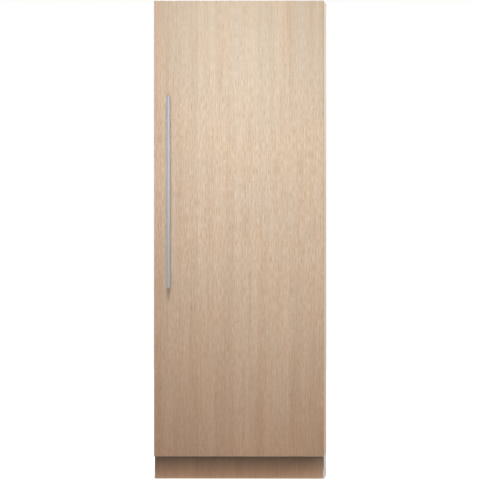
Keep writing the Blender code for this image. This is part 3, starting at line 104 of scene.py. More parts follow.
class FridgeSizes(bpy.types.PropertyGroup):
    veneer_ease: metres("Veneer edge", 0.0008, "Rounding of the wood's edges")
    handle_ease: metres("Handle end", 0.0014, "Chamfer at the ends of the handle's bar")
    liner_corner: metres("Liner corner", 0.014, "Radius where the liner's sides meet its back")
    bin_wall: metres("Bin wall", 0.0024, "Thickness of the clear bins' walls")
    screw_head: metres("Screw head", 0.0042, "Radius of the pan head screws")
    fin_pitch: metres("Fin pitch", 0.0042, "Distance between two fins of a coil block")
    fin_thick: metres("Fin thickness", 0.0007, "One fin, drawn thicker than real foil")
    copper_tube: metres("Copper tube", 0.0036, "Radius of the refrigerant tubes")


class FridgeColours(bpy.types.PropertyGroup):
    oak_pale: tint("Oak, pale", "#f0e0cd", "Early wood of the veneer")
    oak_mid: tint("Oak, middle", "#eadac5", "Ground colour of the veneer")
    oak_dark: tint("Oak, dark", "#e4cfb9", "Late wood of the veneer")
    steel: tint("Stainless steel", "#9f9fa1", "Brushed handle")
    base: tint("Base paint", "#d8d2cf", "Powder coat of the base frame")
    zinc: tint("Zinc", "#94989c", "Galvanised sheet")
    liner: tint("Liner", "#eef0f1", "White moulded plastic")
    clear: tint("Clear plastic", "#fbfdfd", "Bins and drawers")
    glass: tint("Glass", "#eef8f3", "Shelf glass")
    grey: tint("Grey plastic", "#7f8488", "Small moulded parts")
    black: tint("Black plastic", "#1b1c1e", "Grilles and shroud")
    gasket: tint("Gasket", "#c9ccce", "Door seal")


def colours():
    return bpy.context.scene.fridge_colours


def sizes():
    return bpy.context.scene.fridge_sizes


def add(tree, kind, inputs=(), stops=(), **settings):
    """Adds a node, named without its family and followed by its operation if it has one.

    Its inputs, in order or by name, take a value, a socket or a node, which gives its first socket.
    """
    kind, *operation = kind.split()
    node = tree.nodes.new(next(f + kind for f in FAMILIES if hasattr(bpy.types, f + kind)))
    if operation:
        node.operation, = operation
    for key, value in settings.items():
        setattr(node, key, value)
    if stops:
        ramp = node.color_ramp.elements
        ramp.remove(ramp[-1])
        ramp[0].position = stops[0][0]
        for position, _ in stops[1:]:
            ramp.new(position)
        for element, (_, colour) in zip(ramp, stops):
            element.color = (*colour, 1.0)[:4]
    for key, value in inputs.items() if isinstance(inputs, dict) else enumerate(inputs):
        if isinstance(value, bpy.types.Node):
            value = value.outputs[0]
        if isinstance(value, bpy.types.NodeSocket):
            tree.links.new(value, node.inputs[key])
        else:
            node.inputs[key].default_value = value
    return node


def start(name):
    """Begins a material; returns it, its way to add nodes and the piece's own coordinates."""
    made = bpy.data.materials.new(name)
    made.use_nodes = True
    made.node_tree.nodes.clear()
    put = partial(add, made.node_tree)
    return made, put, put("TexCoord").outputs["Object"]


def surface(made, sockets, pattern, relief):
    """Closes a material with its shader; relief is the depth in metres of the pattern, or zero."""
    put = partial(add, made.node_tree)
    if relief:
        bump = put("Bump", {"Height": pattern, "Strength": 0.6, "Distance": relief})
        sockets = {**sockets, "Normal": bump}
    put("OutputMaterial", {"Surface": put("BsdfPrincipled", sockets)})
    return made


def following(made, pattern, stops, rough, relief, extra=None):
    """Closes a material whose colour, roughness and relief all follow one pattern."""
    put = partial(add, made.node_tree)
    ramp = put("ValToRGB", [pattern], stops)
    gloss = put("MapRange", [pattern, 0.0, 1.0, *rough])
    return surface(made, {"Base Color": ramp, "Roughness": gloss, **(extra or {})}, pattern, relief)


def tone(colour, factor):
    """Returns a hex colour, or one of the fridge's by name, made lighter or darker by a factor."""
    base = hex_colour(colour) if colour[0] == "#" else getattr(colours(), colour)
    return [min(1.0, channel * factor) for channel in base[:3]]


def eye_rays(put):
    """Returns 1 for the rays that the eye follows, straight, by reflection or through glass."""
    ray = put("LightPath").outputs
    seen = put("Math ADD", [ray["Is Camera Ray"], ray["Is Glossy Ray"]])
    return put("Math ADD", [seen, ray["Is Transmission Ray"]], use_clamp=True)


def rift_oak_veneer(name):
    """Rift-cut oak under matt oil: straight, quiet grain in veneer leaves, short pores, little
    gloss.
    """
    made, put, place = start(name)
    oak = colours()
    x, y, z = put("SeparateXYZ", [place]).outputs
    across = put("Math ADD", [x, y])
    across = put("Math SUBTRACT", [across, LEFT + FRONT])
    # The grain wanders by about 7 mm over 0.8 m of height.
    slow = put("Mapping", {"Vector": place, "Scale": (2.2, 2.2, 1.25)})
    drift = put("TexNoise", {"Vector": slow, "Scale": 1.0, "Detail": 1.0})
    shift = put("Math MULTIPLY_ADD", [drift, 0.014, across])
    flat = put("CombineXYZ", {"X": shift, "Z": z})
    layers = []
    for scale, detail, roughness in (
            # Rift lines 7 mm apart and up to 0.5 m long.
            ((145.0, 1.0, 2.0), 2.0, 0.55),
            # Broad bands, 45 mm apart, in which the lines crowd together.
            ((22.0, 1.0, 0.9), 2.0, 0.5),
            # Flecks 3 mm wide and 35 mm long, the strongest part of the figure at this distance.
            ((330.0, 1.0, 28.0), 2.0, 0.6),
            # Threads of the same width and 0.13 m long run among the flecks.
            ((310.0, 1.0, 7.5), 1.0, 0.5),
            # Pores 0.8 mm wide and 16 mm long, twice as wide as real ones so that they show.
            ((1250.0, 1.0, 62.0), 1.0, 0.5),
            # Patches 0.1 m wide and 0.4 m tall, a little warmer or greyer.
            ((11.0, 1.0, 3.0), 3.0, 0.5)):
        scaled = put("Mapping", {"Vector": flat, "Scale": scale})
        layers.append(put("TexNoise", {
            "Vector": scaled, "Scale": 1.0, "Detail": detail, "Roughness": roughness}))
    lines, bands, flecks, threads, specks, patches = layers
    # A range's values are the two that it comes from and the two that it goes to.
    pores = put("MapRange", [specks, 0.58, 0.70, 1.0, 0.80])
    grain = put("Math MULTIPLY_ADD", [lines, 0.40, 0.05])
    grain = put("Math MULTIPLY_ADD", [bands, 0.5, grain])
    wood = put("ValToRGB", [grain],
               [(0.36, oak.oak_dark), (0.50, oak.oak_mid), (0.64, oak.oak_pale)])
    lean = put("ValToRGB", [patches], [(0.36, (1.0, 0.968, 0.930)), (0.64, (0.968, 0.965, 0.962))])
    # Painted shade: the veneer is darker and redder towards the bottom, where the light falls off.
    height = put("Math DIVIDE", [z, TOP])
    foot = put("ValToRGB", [height],
               [(0.0, (0.95, 0.81, 0.75)), (0.30, (0.99, 0.94, 0.92)), (0.75, WHITE)])
    # The strips that the veneer is laid in, by the distance of their joints from the left edge.
    # Their tones differ at random, and the strips at the door panel's left and right edges are also
    # darker as painted shade, where the light falls off towards the sides.
    reach = 1.4
    share = put("Math DIVIDE", [across, reach])
    strip_tones_and_edge_shade = put("ValToRGB", [share], [(edge / reach, value) for edge, value in (
        (0.0, (0.940, 0.865, 0.820)), (0.030, (0.955, 0.925, 0.903)),
        (0.192, (1.000, 0.985, 0.970)), (0.272, (0.980, 0.965, 0.948)),
        (0.406, (1.000, 0.995, 0.985)), (0.455, (0.978, 0.962, 0.945)),
        (0.527, (0.980, 0.965, 0.948)), (0.598, (0.960, 0.942, 0.925)),
        (0.728, (0.950, 0.915, 0.885)), (0.905, (0.990, 0.970, 0.950)),
        (1.075, (0.970, 0.945, 0.925)), (1.240, (0.995, 0.980, 0.960)))])
    strip_tones_and_edge_shade.color_ramp.interpolation = "CONSTANT"
    # The figure is livelier across the middle of the flitch than at its ends.
    lively = put("ValToRGB", [height], [(level, (swing,) * 3) for level, swing in (
        (0.044, 0.40), (0.050, 0.80), (0.30, 0.84), (0.52, 1.10), (0.70, 1.10), (0.97, 0.56))])
    figure = put("Math MULTIPLY_ADD", [threads, 0.48, flecks])
    figure = put("Math SUBTRACT", [figure, 0.74])
    figure = put("Math MULTIPLY", [figure, lively])
    figure = put("Math MULTIPLY_ADD", [figure, 0.84, 0.988])
    shade = put("Math MULTIPLY", [figure, pores])
    # Dark flecks and pores are also warmer, because blue falls faster in them than red.
    flecked = put("VectorMath MULTIPLY_ADD", [shade, (0.80, 1.05, 1.50), (0.20, -0.05, -0.50)])
    colour = wood
    for veil in (lean, flecked, foot, strip_tones_and_edge_shade):
        colour = put("VectorMath MULTIPLY", [colour, veil])
    # Painted light and shade on the toe kick, which the mask below picks out by height: lighter at
    # its foot and darker towards its top edge, the painted shadow of the door's overhang.
    low = put("Math LESS_THAN", [z, 0.0994])
    painted_toe_light_and_shade = put("MapRange", [z, 0.0, 0.097, 0.32, -0.22])
    painted_toe_light_and_shade = put("Math MULTIPLY_ADD", [painted_toe_light_and_shade, low, 1.0])
    colour = put("VectorMath SCALE", {0: colour, "Scale": painted_toe_light_and_shade})
    rough = put("MapRange", [grain, 0.3, 0.7, 0.58, 0.68])
    relief = put("Math ADD", [pores, flecks])
    return surface(made, {"Base Color": colour, "Roughness": rough, "Specular IOR Level": 0.3},
                   relief, 0.00012)


def grained(name, colour, speck, low, high, roughness, relief, extra=None):
    """A painted or moulded surface whose fine texture, speck metres across, breaks up the gloss."""
    made, put, place = start(name)
    fine = put("TexNoise", {"Vector": place, "Scale": 1 / speck, "Detail": 2.0})
    # Handling and ageing leave patches about 60 mm wide, hardly seen in the colour.
    patches = put("TexNoise", {"Vector": place, "Scale": 16.0, "Detail": 3.0})
    both = put("Math ADD", [fine, patches])
    tinted = put("MapRange", [both, 0.7, 1.3])
    ramp = put("ValToRGB", [tinted], [(0.0, tone(colour, low)), (1.0, tone(colour, high))])
    rough = put("MapRange", [patches, 0.3, 0.7, roughness - 0.05, roughness + 0.05])
    return surface(made, {"Base Color": ramp, "Roughness": rough, **(extra or {})}, fine, relief)


def metal(name, colour, scale, rough, relief=0.00002):
    """A drawn, rolled or brushed metal; scale is its marks to the metre along x, y and z."""
    made, put, place = start(name)
    drawn = put("Mapping", {"Vector": place, "Scale": scale})
    marks = put("TexNoise", {"Vector": drawn, "Scale": 1.0, "Detail": 3.0})
    stops = [(0.3, tone(colour, 0.86)), (0.7, tone(colour, 1.06))]
    return following(made, marks, stops, rough, relief, {"Metallic": 1.0})


def clear(name, colour, rough, relief, index, body):
    """A clear solid with a frozen ripple about 45 mm wide; body is how much it hides."""
    made, put, place = start(name)
    flow = put("TexNoise", {"Vector": place, "Scale": 22.0, "Detail": 2.0})
    stops = [(0.3, tone(colour, 0.985)), (0.7, tone(colour, 1.0))]
    extra = {"IOR": index, "Transmission Weight": 1.0, "Alpha": body}
    return following(made, flow, stops, rough, relief, extra)


def galvanised_sheet(name):
    """Hot-dip galvanised sheet: crystals of zinc about 9 mm across, each with its own grey."""
    made, put, place = start(name)
    cells = put("TexVoronoi", {"Vector": place, "Scale": 110.0, "Randomness": 1.0})
    grey = put("SeparateColor", [cells.outputs["Color"]])
    mist = put("TexNoise", {"Vector": place, "Scale": 40.0, "Detail": 4.0})
    both = put("Math MULTIPLY_ADD", [grey, 0.45, mist])
    ramp = put("ValToRGB", [both], [(0.35, tone("zinc", 0.82)), (1.0, tone("zinc", 1.16))])
    rough = put("MapRange", [grey, 0.0, 1.0, 0.36, 0.52])
    return surface(made, {"Base Color": ramp, "Metallic": 0.7, "Roughness": rough}, mist, 0.00004)


def urethane_foam(name):
    """Rigid polyurethane foam: pale yellow, with closed cells about 2 mm across."""
    made, put, place = start(name)
    cells = put("TexVoronoi", {"Vector": place, "Scale": 500.0})
    stops = [(0.0, hex_colour("#cdb679")), (0.5, hex_colour("#e6d6a0"))]
    return following(made, cells, stops, (0.8, 0.95), 0.0004)


def opal_acrylic(name):
    """Opal acrylic over cold white diodes: an even glow with no visible points."""
    made, put, place = start(name)
    fine = put("TexNoise", {"Vector": place, "Scale": 700.0, "Detail": 1.0})
    stops = [(0.3, hex_colour("#f3f5f6")), (0.7, hex_colour("#fbfcfc"))]
    glow = {"Emission Color": hex_colour("#fdfbf4"), "Emission Strength": 3.0}
    return following(made, fine, stops, (0.3, 0.4), 0.00003, glow)


def pale_floor(name):
    """Painted studio floor: pale, matt, faintly clouded; rays to the eye see it near white."""
    made, put, place = start(name)
    cloud = put("TexNoise", {"Vector": place, "Scale": 1.5, "Detail": 4.0})
    ramp = put("ValToRGB", [cloud], [(0.3, hex_colour("#8f8e8d")), (0.7, hex_colour("#959493"))])
    # Beyond about 3 m the floor fades into the white surround.
    away = put("VectorMath LENGTH", [place])
    fade = put("MapRange", [away.outputs["Value"], 0.7, 3.2, 0.80, 1.0])
    glow = put("Math MULTIPLY", [eye_rays(put), fade])
    return surface(made, {"Base Color": ramp, "Roughness": 0.9, "Emission Color": WHITE,
                          "Emission Strength": glow}, cloud, 0.0002)


# Each finish by the function that makes it and that function's values.
FINISHES = {
    "rift_oak_veneer": (rift_oak_veneer,),
    "galvanised_sheet": (galvanised_sheet,),
    "urethane_foam": (urethane_foam,),
    "opal_acrylic": (opal_acrylic,),
    "pale_floor": (pale_floor,),
    # Pale powder coat on steel: an even, slightly pebbled skin with a soft sheen.
    "powder_coated_steel": (grained, "base", 0.0016, 0.95, 1.03, 0.46, 0.00006),
    # Baked black enamel on pressed steel: deep, glossy, with a faint orange peel.
    "black_enamel": (grained, "#17181a", 0.0045, 0.85, 1.2, 0.22, 0.00008, {"Coat Weight": 0.5}),
    # White vacuum-formed polystyrene: smooth and softly shining, uneven where it was drawn thin.
    "moulded_polystyrene": (grained, "liner", 0.030, 0.978, 1.012, 0.34, 0.0),
    # Grey injection-moulded ABS: fine spark-eroded grain that scatters the light.
    "grey_abs": (grained, "grey", 0.0011, 0.92, 1.06, 0.5, 0.00005),
    # Black injection-moulded ABS: charcoal with a fine matt grain.
    "black_abs": (grained, "black", 0.0012, 0.8, 1.25, 0.48, 0.00006),
    # Magnetic gasket vinyl: soft grey, with a dull wipe of gloss.
    "gasket_vinyl": (grained, "gasket", 0.0015, 0.95, 1.03, 0.56, 0.00004),
    # Natural nylon: creamy white, dense and slightly waxy.
    "nylon": (grained, "#e4e1d6", 0.0015, 0.94, 1.03, 0.42, 0.00004),
    # Dark rubber: dull, with a fine mould texture.
    "foot_rubber": (grained, "#26272a", 0.0009, 0.85, 1.15, 0.72, 0.00008),
    # Stainless bar brushed along its length: fine bright lines that stretch every highlight,
    # 0.9 mm apart and 80 mm long, coarser than real ones so that they show.
    "brushed_stainless": (metal, "steel", (1100.0, 1100.0, 12.0), (0.58, 0.72), 0.00003),
    # Mill-finish aluminium foil: bright grey with rolling marks 20 mm long.
    "fin_aluminium": (metal, "#d5d8da", (700.0, 50.0, 700.0), (0.30, 0.44)),
    # Anodised aluminium trim: pale satin with fine lengthwise lines 50 mm long.
    "satin_aluminium": (metal, "#c3c5c7", (700.0, 20.0, 700.0), (0.32, 0.46)),
    # Drawn copper: warm and bright, with a faint tarnish and marks 30 mm long.
    "copper_pipe": (metal, "#c98c66", (700.0, 1 / 0.03, 700.0), (0.24, 0.38)),
    # Zinc-plated steel screw: cold silver with turning marks 4 mm long.
    "zinc_screw": (metal, "#c2c5c9", (700.0, 250.0, 700.0), (0.24, 0.38)),
    # Clear moulded polystyrene: bright edges and soft reflections, faintly cool.
    "clear_styrene": (clear, "clear", (0.03, 0.08), 0.00002, 1.57, 0.5),
    # Tempered float glass: clear across and green at the edge.
    "tempered_glass": (clear, "glass", (0.0, 0.05), 0.00001, 1.52, 0.6),
}
FINISH_OF_SLOT = {
    "wood_veneer": "rift_oak_veneer", "brushed_handle": "brushed_stainless",
    "pale_base_steel": "powder_coated_steel", "zinc_steel": "galvanised_sheet",
    "black_enamel": "black_enamel", "white_liner": "moulded_polystyrene",
    "clear_plastic": "clear_styrene", "grey_plastic": "grey_abs", "black_plastic": "black_abs",
    "fin_aluminium": "fin_aluminium", "shelf_glass": "tempered_glass", "foam": "urethane_foam",
    "gasket_rubber": "gasket_vinyl", "light_lens": "opal_acrylic",
}


def finish(name):
    """Returns the named finish, making it the first time that it is asked for."""
    maker, *values = FINISHES[name]
    return bpy.data.materials.get(name) or maker(name, *values)


def middle(node):
    """Returns the middle of a CAD node's box."""
    return [(low + high) / 2 for low, high in zip(*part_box(node))]


def spread(low, high, margin, count):
    """Returns evenly spaced levels that keep a margin from both ends."""
    return [low + margin + index * (high - low - 2 * margin) / (count - 1)
            for index in range(count)]


def quarter(steps):
    """Returns the angles of a quarter turn."""
    return [math.radians(90 * index / steps) for index in range(steps + 1)]


def settled(name, shape):
    """Merges a shape's doubles, turns its faces outwards and returns it as a mesh."""
    bmesh.ops.remove_doubles(shape, verts=shape.verts, dist=MERGE)
    bmesh.ops.recalc_face_normals(shape, faces=shape.faces)
    mesh = bpy.data.meshes.new(name)
    shape.to_mesh(mesh)
    shape.free()
    return mesh


def mesh_of(name, skins, around=False):
    """Joins the rings of each skin, and closes its ends, or around closes it on itself."""
    shape = bmesh.new()
    for rings in skins:
        made = [[shape.verts.new(point) for point in ring] for ring in rings]
        for first, second in zip(made, made[1:] + made[:1] if around else made[1:]):
            for index in range(len(first)):
                after = (index + 1) % len(first)
                shape.faces.new((first[index], first[after], second[after], second[index]))
        if not around:
            shape.faces.new(list(reversed(made[0])))
            shape.faces.new(made[-1])
    return settled(name, shape)


def rounded(u0, u1, v0, v1, radii, steps=5):
    """Returns a rounded rectangle's points; radii go low-low, high-low, high-high, low-high."""
    radii = radii if hasattr(radii, "__len__") else [radii] * 4
    corners = ((u0, v0, 1, 1, 180), (u1, v0, -1, 1, 270), (u1, v1, -1, -1, 0), (u0, v1, 1, -1, 90))
    points = []
    for (u, v, toward_u, toward_v, begin), radius in zip(corners, radii):
        for index in range(steps + 1):
            angle = math.radians(begin + 90 * index / steps)
            points.append((u + radius * (toward_u + math.cos(angle)),
                           v + radius * (toward_v + math.sin(angle))))
    return points


def prism(outline, axis, levels):
    """Returns the skin of an outline, given in the two other axes, drawn out along an axis."""
    return [[(*point[:axis], level, *point[axis:]) for point in outline] for level in levels]


def block(x0, x1, y0, y1, z0, z1):
    """Returns the skin of a plain box."""
    return prism([(x0, y0), (x1, y0), (x1, y1), (x0, y1)], 2, (z0, z1))


def turned(axis, centre, profile, sides=32):
    """Turns a profile of (distance along the axis, radius) pairs about the axis through centre."""
    first, second = [index for index in range(3) if index != axis]
    rings = []
    for along, radius in profile:
        ring = [list(centre) for _ in range(sides)]
        for index, point in enumerate(ring):
            angle = 2 * math.pi * index / sides
            point[axis] += along
            point[first] += radius * math.cos(angle)
            point[second] += radius * math.sin(angle)
        rings.append(ring)
    return rings


def tube(path, radius, sides=10):
    """Sweeps a round section along a path of points."""
    rings, side = [], None
    for index, point in enumerate(path):
        ahead = (path[min(index + 1, len(path) - 1)] - path[max(index - 1, 0)]).normalized()
        if side is None:
            side = ahead.orthogonal().normalized()
        side = (side - ahead * side.dot(ahead)).normalized()
        other = ahead.cross(side)
        rings.append([point + radius * (side * math.cos(a) + other * math.sin(a))
                      for a in (2 * math.pi * step / sides for step in range(sides))])
    return rings


def bent(points, radius, steps):
    """Rounds the corners of a path of points."""
    points = [Vector(point) for point in points]
    path = [points[0]]
    for before, corner, after in zip(points, points[1:], points[2:]):
        entry = corner + (before - corner).normalized() * radius
        leave = corner + (after - corner).normalized() * radius
        for index in range(steps + 1):
            share = index / steps
            path.append(entry.lerp(corner, share).lerp(corner.lerp(leave, share), share))
    return [*path, points[-1]]


def piece(name, skins, finish_name, body, slot, replaced=(), smooth=35, ease=0.0, ease_steps=2):
    """Turns skins or a mesh into a piece on its body, in place of the CAD nodes named."""
    mesh = skins if isinstance(skins, bpy.types.Mesh) else mesh_of(name, skins)
    mesh.name = name
    mesh.materials.clear()
    mesh.materials.append(finish(finish_name))
    mesh.shade_smooth()
    mesh.set_sharp_from_angle(angle=math.radians(smooth))
    made = bpy.data.objects.new(name, mesh)
    bpy.context.collection.objects.link(made)
    if ease:
        bevel = made.modifiers.new("ease", "BEVEL")
        bevel.width, bevel.segments, bevel.harden_normals = ease, ease_steps, True
        bevel.angle_limit = math.radians(40)
    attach(made, body)
    if replaced:
        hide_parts(*replaced)
    return made


def stand_in(node, skins, finish_name=None, name=None, **more):
    """Stands a piece in for a CAD node, in the finish of its slot unless another is named."""
    slot = SLOT_OF[node]
    return piece(name or node + "_made", skins, finish_name or FINISH_OF_SLOT[slot], BODY_OF[node],
                 slot, (node,), **more)


def copies(ease, *nodes, **more):
    """Stands eased copies in for CAD nodes, their loose triangles merged, and returns the last."""
    for node in nodes:
        shape = bmesh.new()
        shape.from_mesh(NODES[node].data)
        bmesh.ops.remove_doubles(shape, verts=shape.verts, dist=MERGE)
        bmesh.ops.dissolve_limit(shape, angle_limit=math.radians(1.0), verts=shape.verts,
                                 edges=shape.edges)
        made = stand_in(node, settled(node, shape), ease=ease, **more)
    return made


def dress(node):
    """Gives a CAD node that keeps its own shape the finish of its slot."""
    materials = NODES[node].data.materials
    materials.clear()
    materials.append(finish(FINISH_OF_SLOT[SLOT_OF[node]]))


def tub(low, high, wall, radii, draft, rim, soft=0.004):
    """Returns a tub with a thick rim, walls leaning in by draft and a foot rounded by soft."""
    (x0, y0, z0), (x1, y1, z1) = low, high
    outer, floor, edge, least = draft + rim, z0 + wall, 0.0006, 0.0005
    levels = (
        (outer + soft, z0), (outer + soft * 0.3, z0 + soft * 0.3), (outer, z0 + soft),
        (rim, z1 - 0.010), (0.0, z1 - 0.008), (0.0, z1 - edge), (least, z1),
        (wall + rim - least, z1), (wall + rim, z1 - edge), (outer + wall, floor + soft),
        (outer + wall + soft * 0.3, floor + soft * 0.3), (outer + wall + soft, floor))
    return [[(x, y, z) for x, y in rounded(x0 + inset, x1 - inset, y0 + inset, y1 - inset,
                                           [max(least, radius - inset) for radius in radii])]
            for inset, z in levels]


def tree_of(name, sockets):
    """Begins a node tree with named inputs; returns it, its way to add nodes and its inputs."""
    tree = bpy.data.node_groups.new(name, "GeometryNodeTree")
    tree.interface.new_socket("Geometry", in_out="INPUT", socket_type="NodeSocketGeometry")
    for label, kind, value in sockets:
        made = tree.interface.new_socket(label, in_out="INPUT", socket_type="NodeSocket" + kind)
        made.default_value = value
    tree.interface.new_socket("Finish", in_out="INPUT", socket_type="NodeSocketMaterial")
    tree.interface.new_socket("Geometry", in_out="OUTPUT", socket_type="NodeSocketGeometry")
    return tree, partial(add, tree), add(tree, "NodeGroupInput").outputs


def close_tree(put, entry, instances):
    """Realises the instances, gives them the finish and ends the tree."""
    real = put("RealizeInstances", [instances])
    done = put("SetMaterial", {"Geometry": real, "Material": entry["Finish"]})
    put("NodeGroupOutput", [done])


def screw_tree(name):
    """Builds the tree that sets a cross-recessed screw on each point, all facing one way."""
    tree, put, entry = tree_of(name, (
        ("Head radius", "Float", 0.004), ("Head height", "Float", 0.0016),
        ("Facing", "Vector", (0.0, 0.0, 1.0)), ("Seed", "Int", 5)))
    radius, height = entry["Head radius"], entry["Head height"]
    head = put("MeshCylinder", {"Vertices": 16, "Radius": radius, "Depth": height})
    recess = put("MeshBoolean DIFFERENCE", {"Mesh 1": head}, solver="EXACT")
    rise = put("CombineXYZ", {"Z": height})
    # The recess is a cross whose arms reach past the head's edge.
    long, slim = [put("Math MULTIPLY", [radius, share]) for share in (1.15, 0.24)]
    for x, y in ((long, slim), (slim, long)):
        arm = put("MeshCube", {"Size": put("CombineXYZ", [x, y, height])})
        raised = put("Transform", {"Geometry": arm, "Translation": rise})
        tree.links.new(raised.outputs[0], recess.inputs["Mesh 2"])
    sit = put("CombineXYZ", {"Z": put("Math MULTIPLY", [height, 0.45])})
    seated = put("Transform", {"Geometry": recess, "Translation": sit})
    aimed = put("AlignRotationToVector", {"Vector": entry["Facing"]}, axis="Z")
    heads = put("InstanceOnPoints",
                {"Points": entry["Geometry"], "Instance": seated, "Rotation": aimed})
    spin = put("RandomValue", {"Max": 6.28, "Seed": entry["Seed"]}, data_type="FLOAT")
    about = put("CombineXYZ", {"Z": spin.outputs["Value"]})
    spun = put("RotateInstances", {"Instances": heads, "Rotation": about, "Local Space": True})
    close_tree(put, entry, spun)
    return tree


def row_tree(name):
    """Builds the tree that repeats a plate along a line, for the fins of the coil blocks."""
    tree, put, entry = tree_of(name, (("Count", "Int", 10), ("Step", "Vector", (0.004, 0.0, 0.0)),
                                      ("Plate", "Vector", (0.001, 0.04, 0.1))))
    plate = put("MeshCube", {"Size": entry["Plate"]})
    points = put("MeshLine", {"Count": entry["Count"], "Offset": entry["Step"]})
    row = put("InstanceOnPoints", {"Points": points, "Instance": plate})
    close_tree(put, entry, row)
    return tree


TREES = {"screws": screw_tree, "plates_in_a_row": row_tree}


def grow(name, kind, points, values):
    """Runs a node tree on points with its named inputs set, and returns the plain mesh it makes."""
    tree = bpy.data.node_groups.get(kind) or TREES[kind](kind)
    mesh = bpy.data.meshes.new(name)
    mesh.from_pydata(points, [], [])
    carrier = bpy.data.objects.new(name, mesh)
    bpy.context.collection.objects.link(carrier)
    modifier = carrier.modifiers.new(name, "NODES")
    modifier.node_group = tree
    for item in tree.interface.items_tree:
        if item.in_out == "INPUT" and item.name in values:
            modifier[item.identifier] = values[item.name]
    bpy.context.view_layer.update()
    view = bpy.context.evaluated_depsgraph_get()
    done = bpy.data.meshes.new_from_object(carrier.evaluated_get(view))
    bpy.data.objects.remove(carrier)
    return done


def screws(name, points, facing, height=0.0016, radius=None):
    """Drives a set of the cabinet's screws, all facing one way."""
    heads = grow(name, "screws", points, {
        "Head radius": radius or sizes().screw_head, "Head height": height, "Facing": facing,
        "Seed": 5, "Finish": finish("zinc_screw")})
    piece(name, heads, "zinc_screw", "cabinet", "zinc_steel", smooth=30)


def coil_fins(node, bend, pitch):
    """Stands fins in for a coil block, bend short of its ends, and returns their ends."""
    low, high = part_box(node)
    _, y, z = middle(node)
    x0, x1 = low.x + bend, high.x - bend
    fins = grow(node + "_fins", "plates_in_a_row", [(0, 0, 0)], {
        "Count": int((x1 - x0) / pitch) + 1, "Step": (pitch, 0.0, 0.0),
        "Plate": (sizes().fin_thick, high.y - low.y, high.z - low.z),
        "Finish": finish("fin_aluminium")})
    fins.transform(Matrix.Translation((x0, y, z)))
    stand_in(node, fins, smooth=30)
    return x0, x1


def serpentine(x0, x1, y, levels, turn, steps, radius):
    """Returns a tube that runs to and fro between two ends, one pass at each level."""
    points = []
    for index, level in enumerate(levels):
        points += [(x, y, level) for x in ((x1, x0) if index % 2 else (x0, x1))]
    return tube(bent(points, turn, steps), radius)


def fan(name, hub, lean, finish_name):
    """Makes a fan wheel about an axis along y: a capped hub and swept, cambered blades."""
    node = name + "_wheel"
    low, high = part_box(node)
    x, _, z = middle(node)
    radius, depth, count, root = (high.z - low.z) / 2 - 0.0002, high.y - low.y, 7, hub * 0.92
    half, camber, clearance = 0.0006, 0.0012, 0.0016
    skins = [turned(1, (x, low.y, z), [
        (0.0, hub * 0.55), (0.0008, hub * 0.8), (0.0026, hub), (depth - 0.001, hub),
        (depth, hub - 0.001)], 28)]
    for begin in (2 * math.pi * blade / count for blade in range(count)):
        rings = []
        for share in (step / 6 for step in range(7)):
            r = root + (radius - root) * share
            bulge = 0.62 + 0.34 * math.sin(math.pi * (0.25 + 0.6 * share))
            span = bulge * 2 * math.pi / count * 0.9
            section = []
            for side, order in ((half, range(6)), (-half, range(5, -1, -1))):
                for along in (index / 5 for index in order):
                    angle = begin + lean * share + span * (along - 0.5)
                    rise = (depth - 0.0034) * along * (1 - 0.25 * share)
                    y = low.y + clearance + rise + camber * math.sin(math.pi * along) + side
                    section.append((x + r * math.cos(angle), min(max(y, low.y), high.y),
                                    z + r * math.sin(angle)))
            rings.append(section)
        skins.append(rings)
    stand_in(node, skins, finish_name, name + "_made", smooth=40)


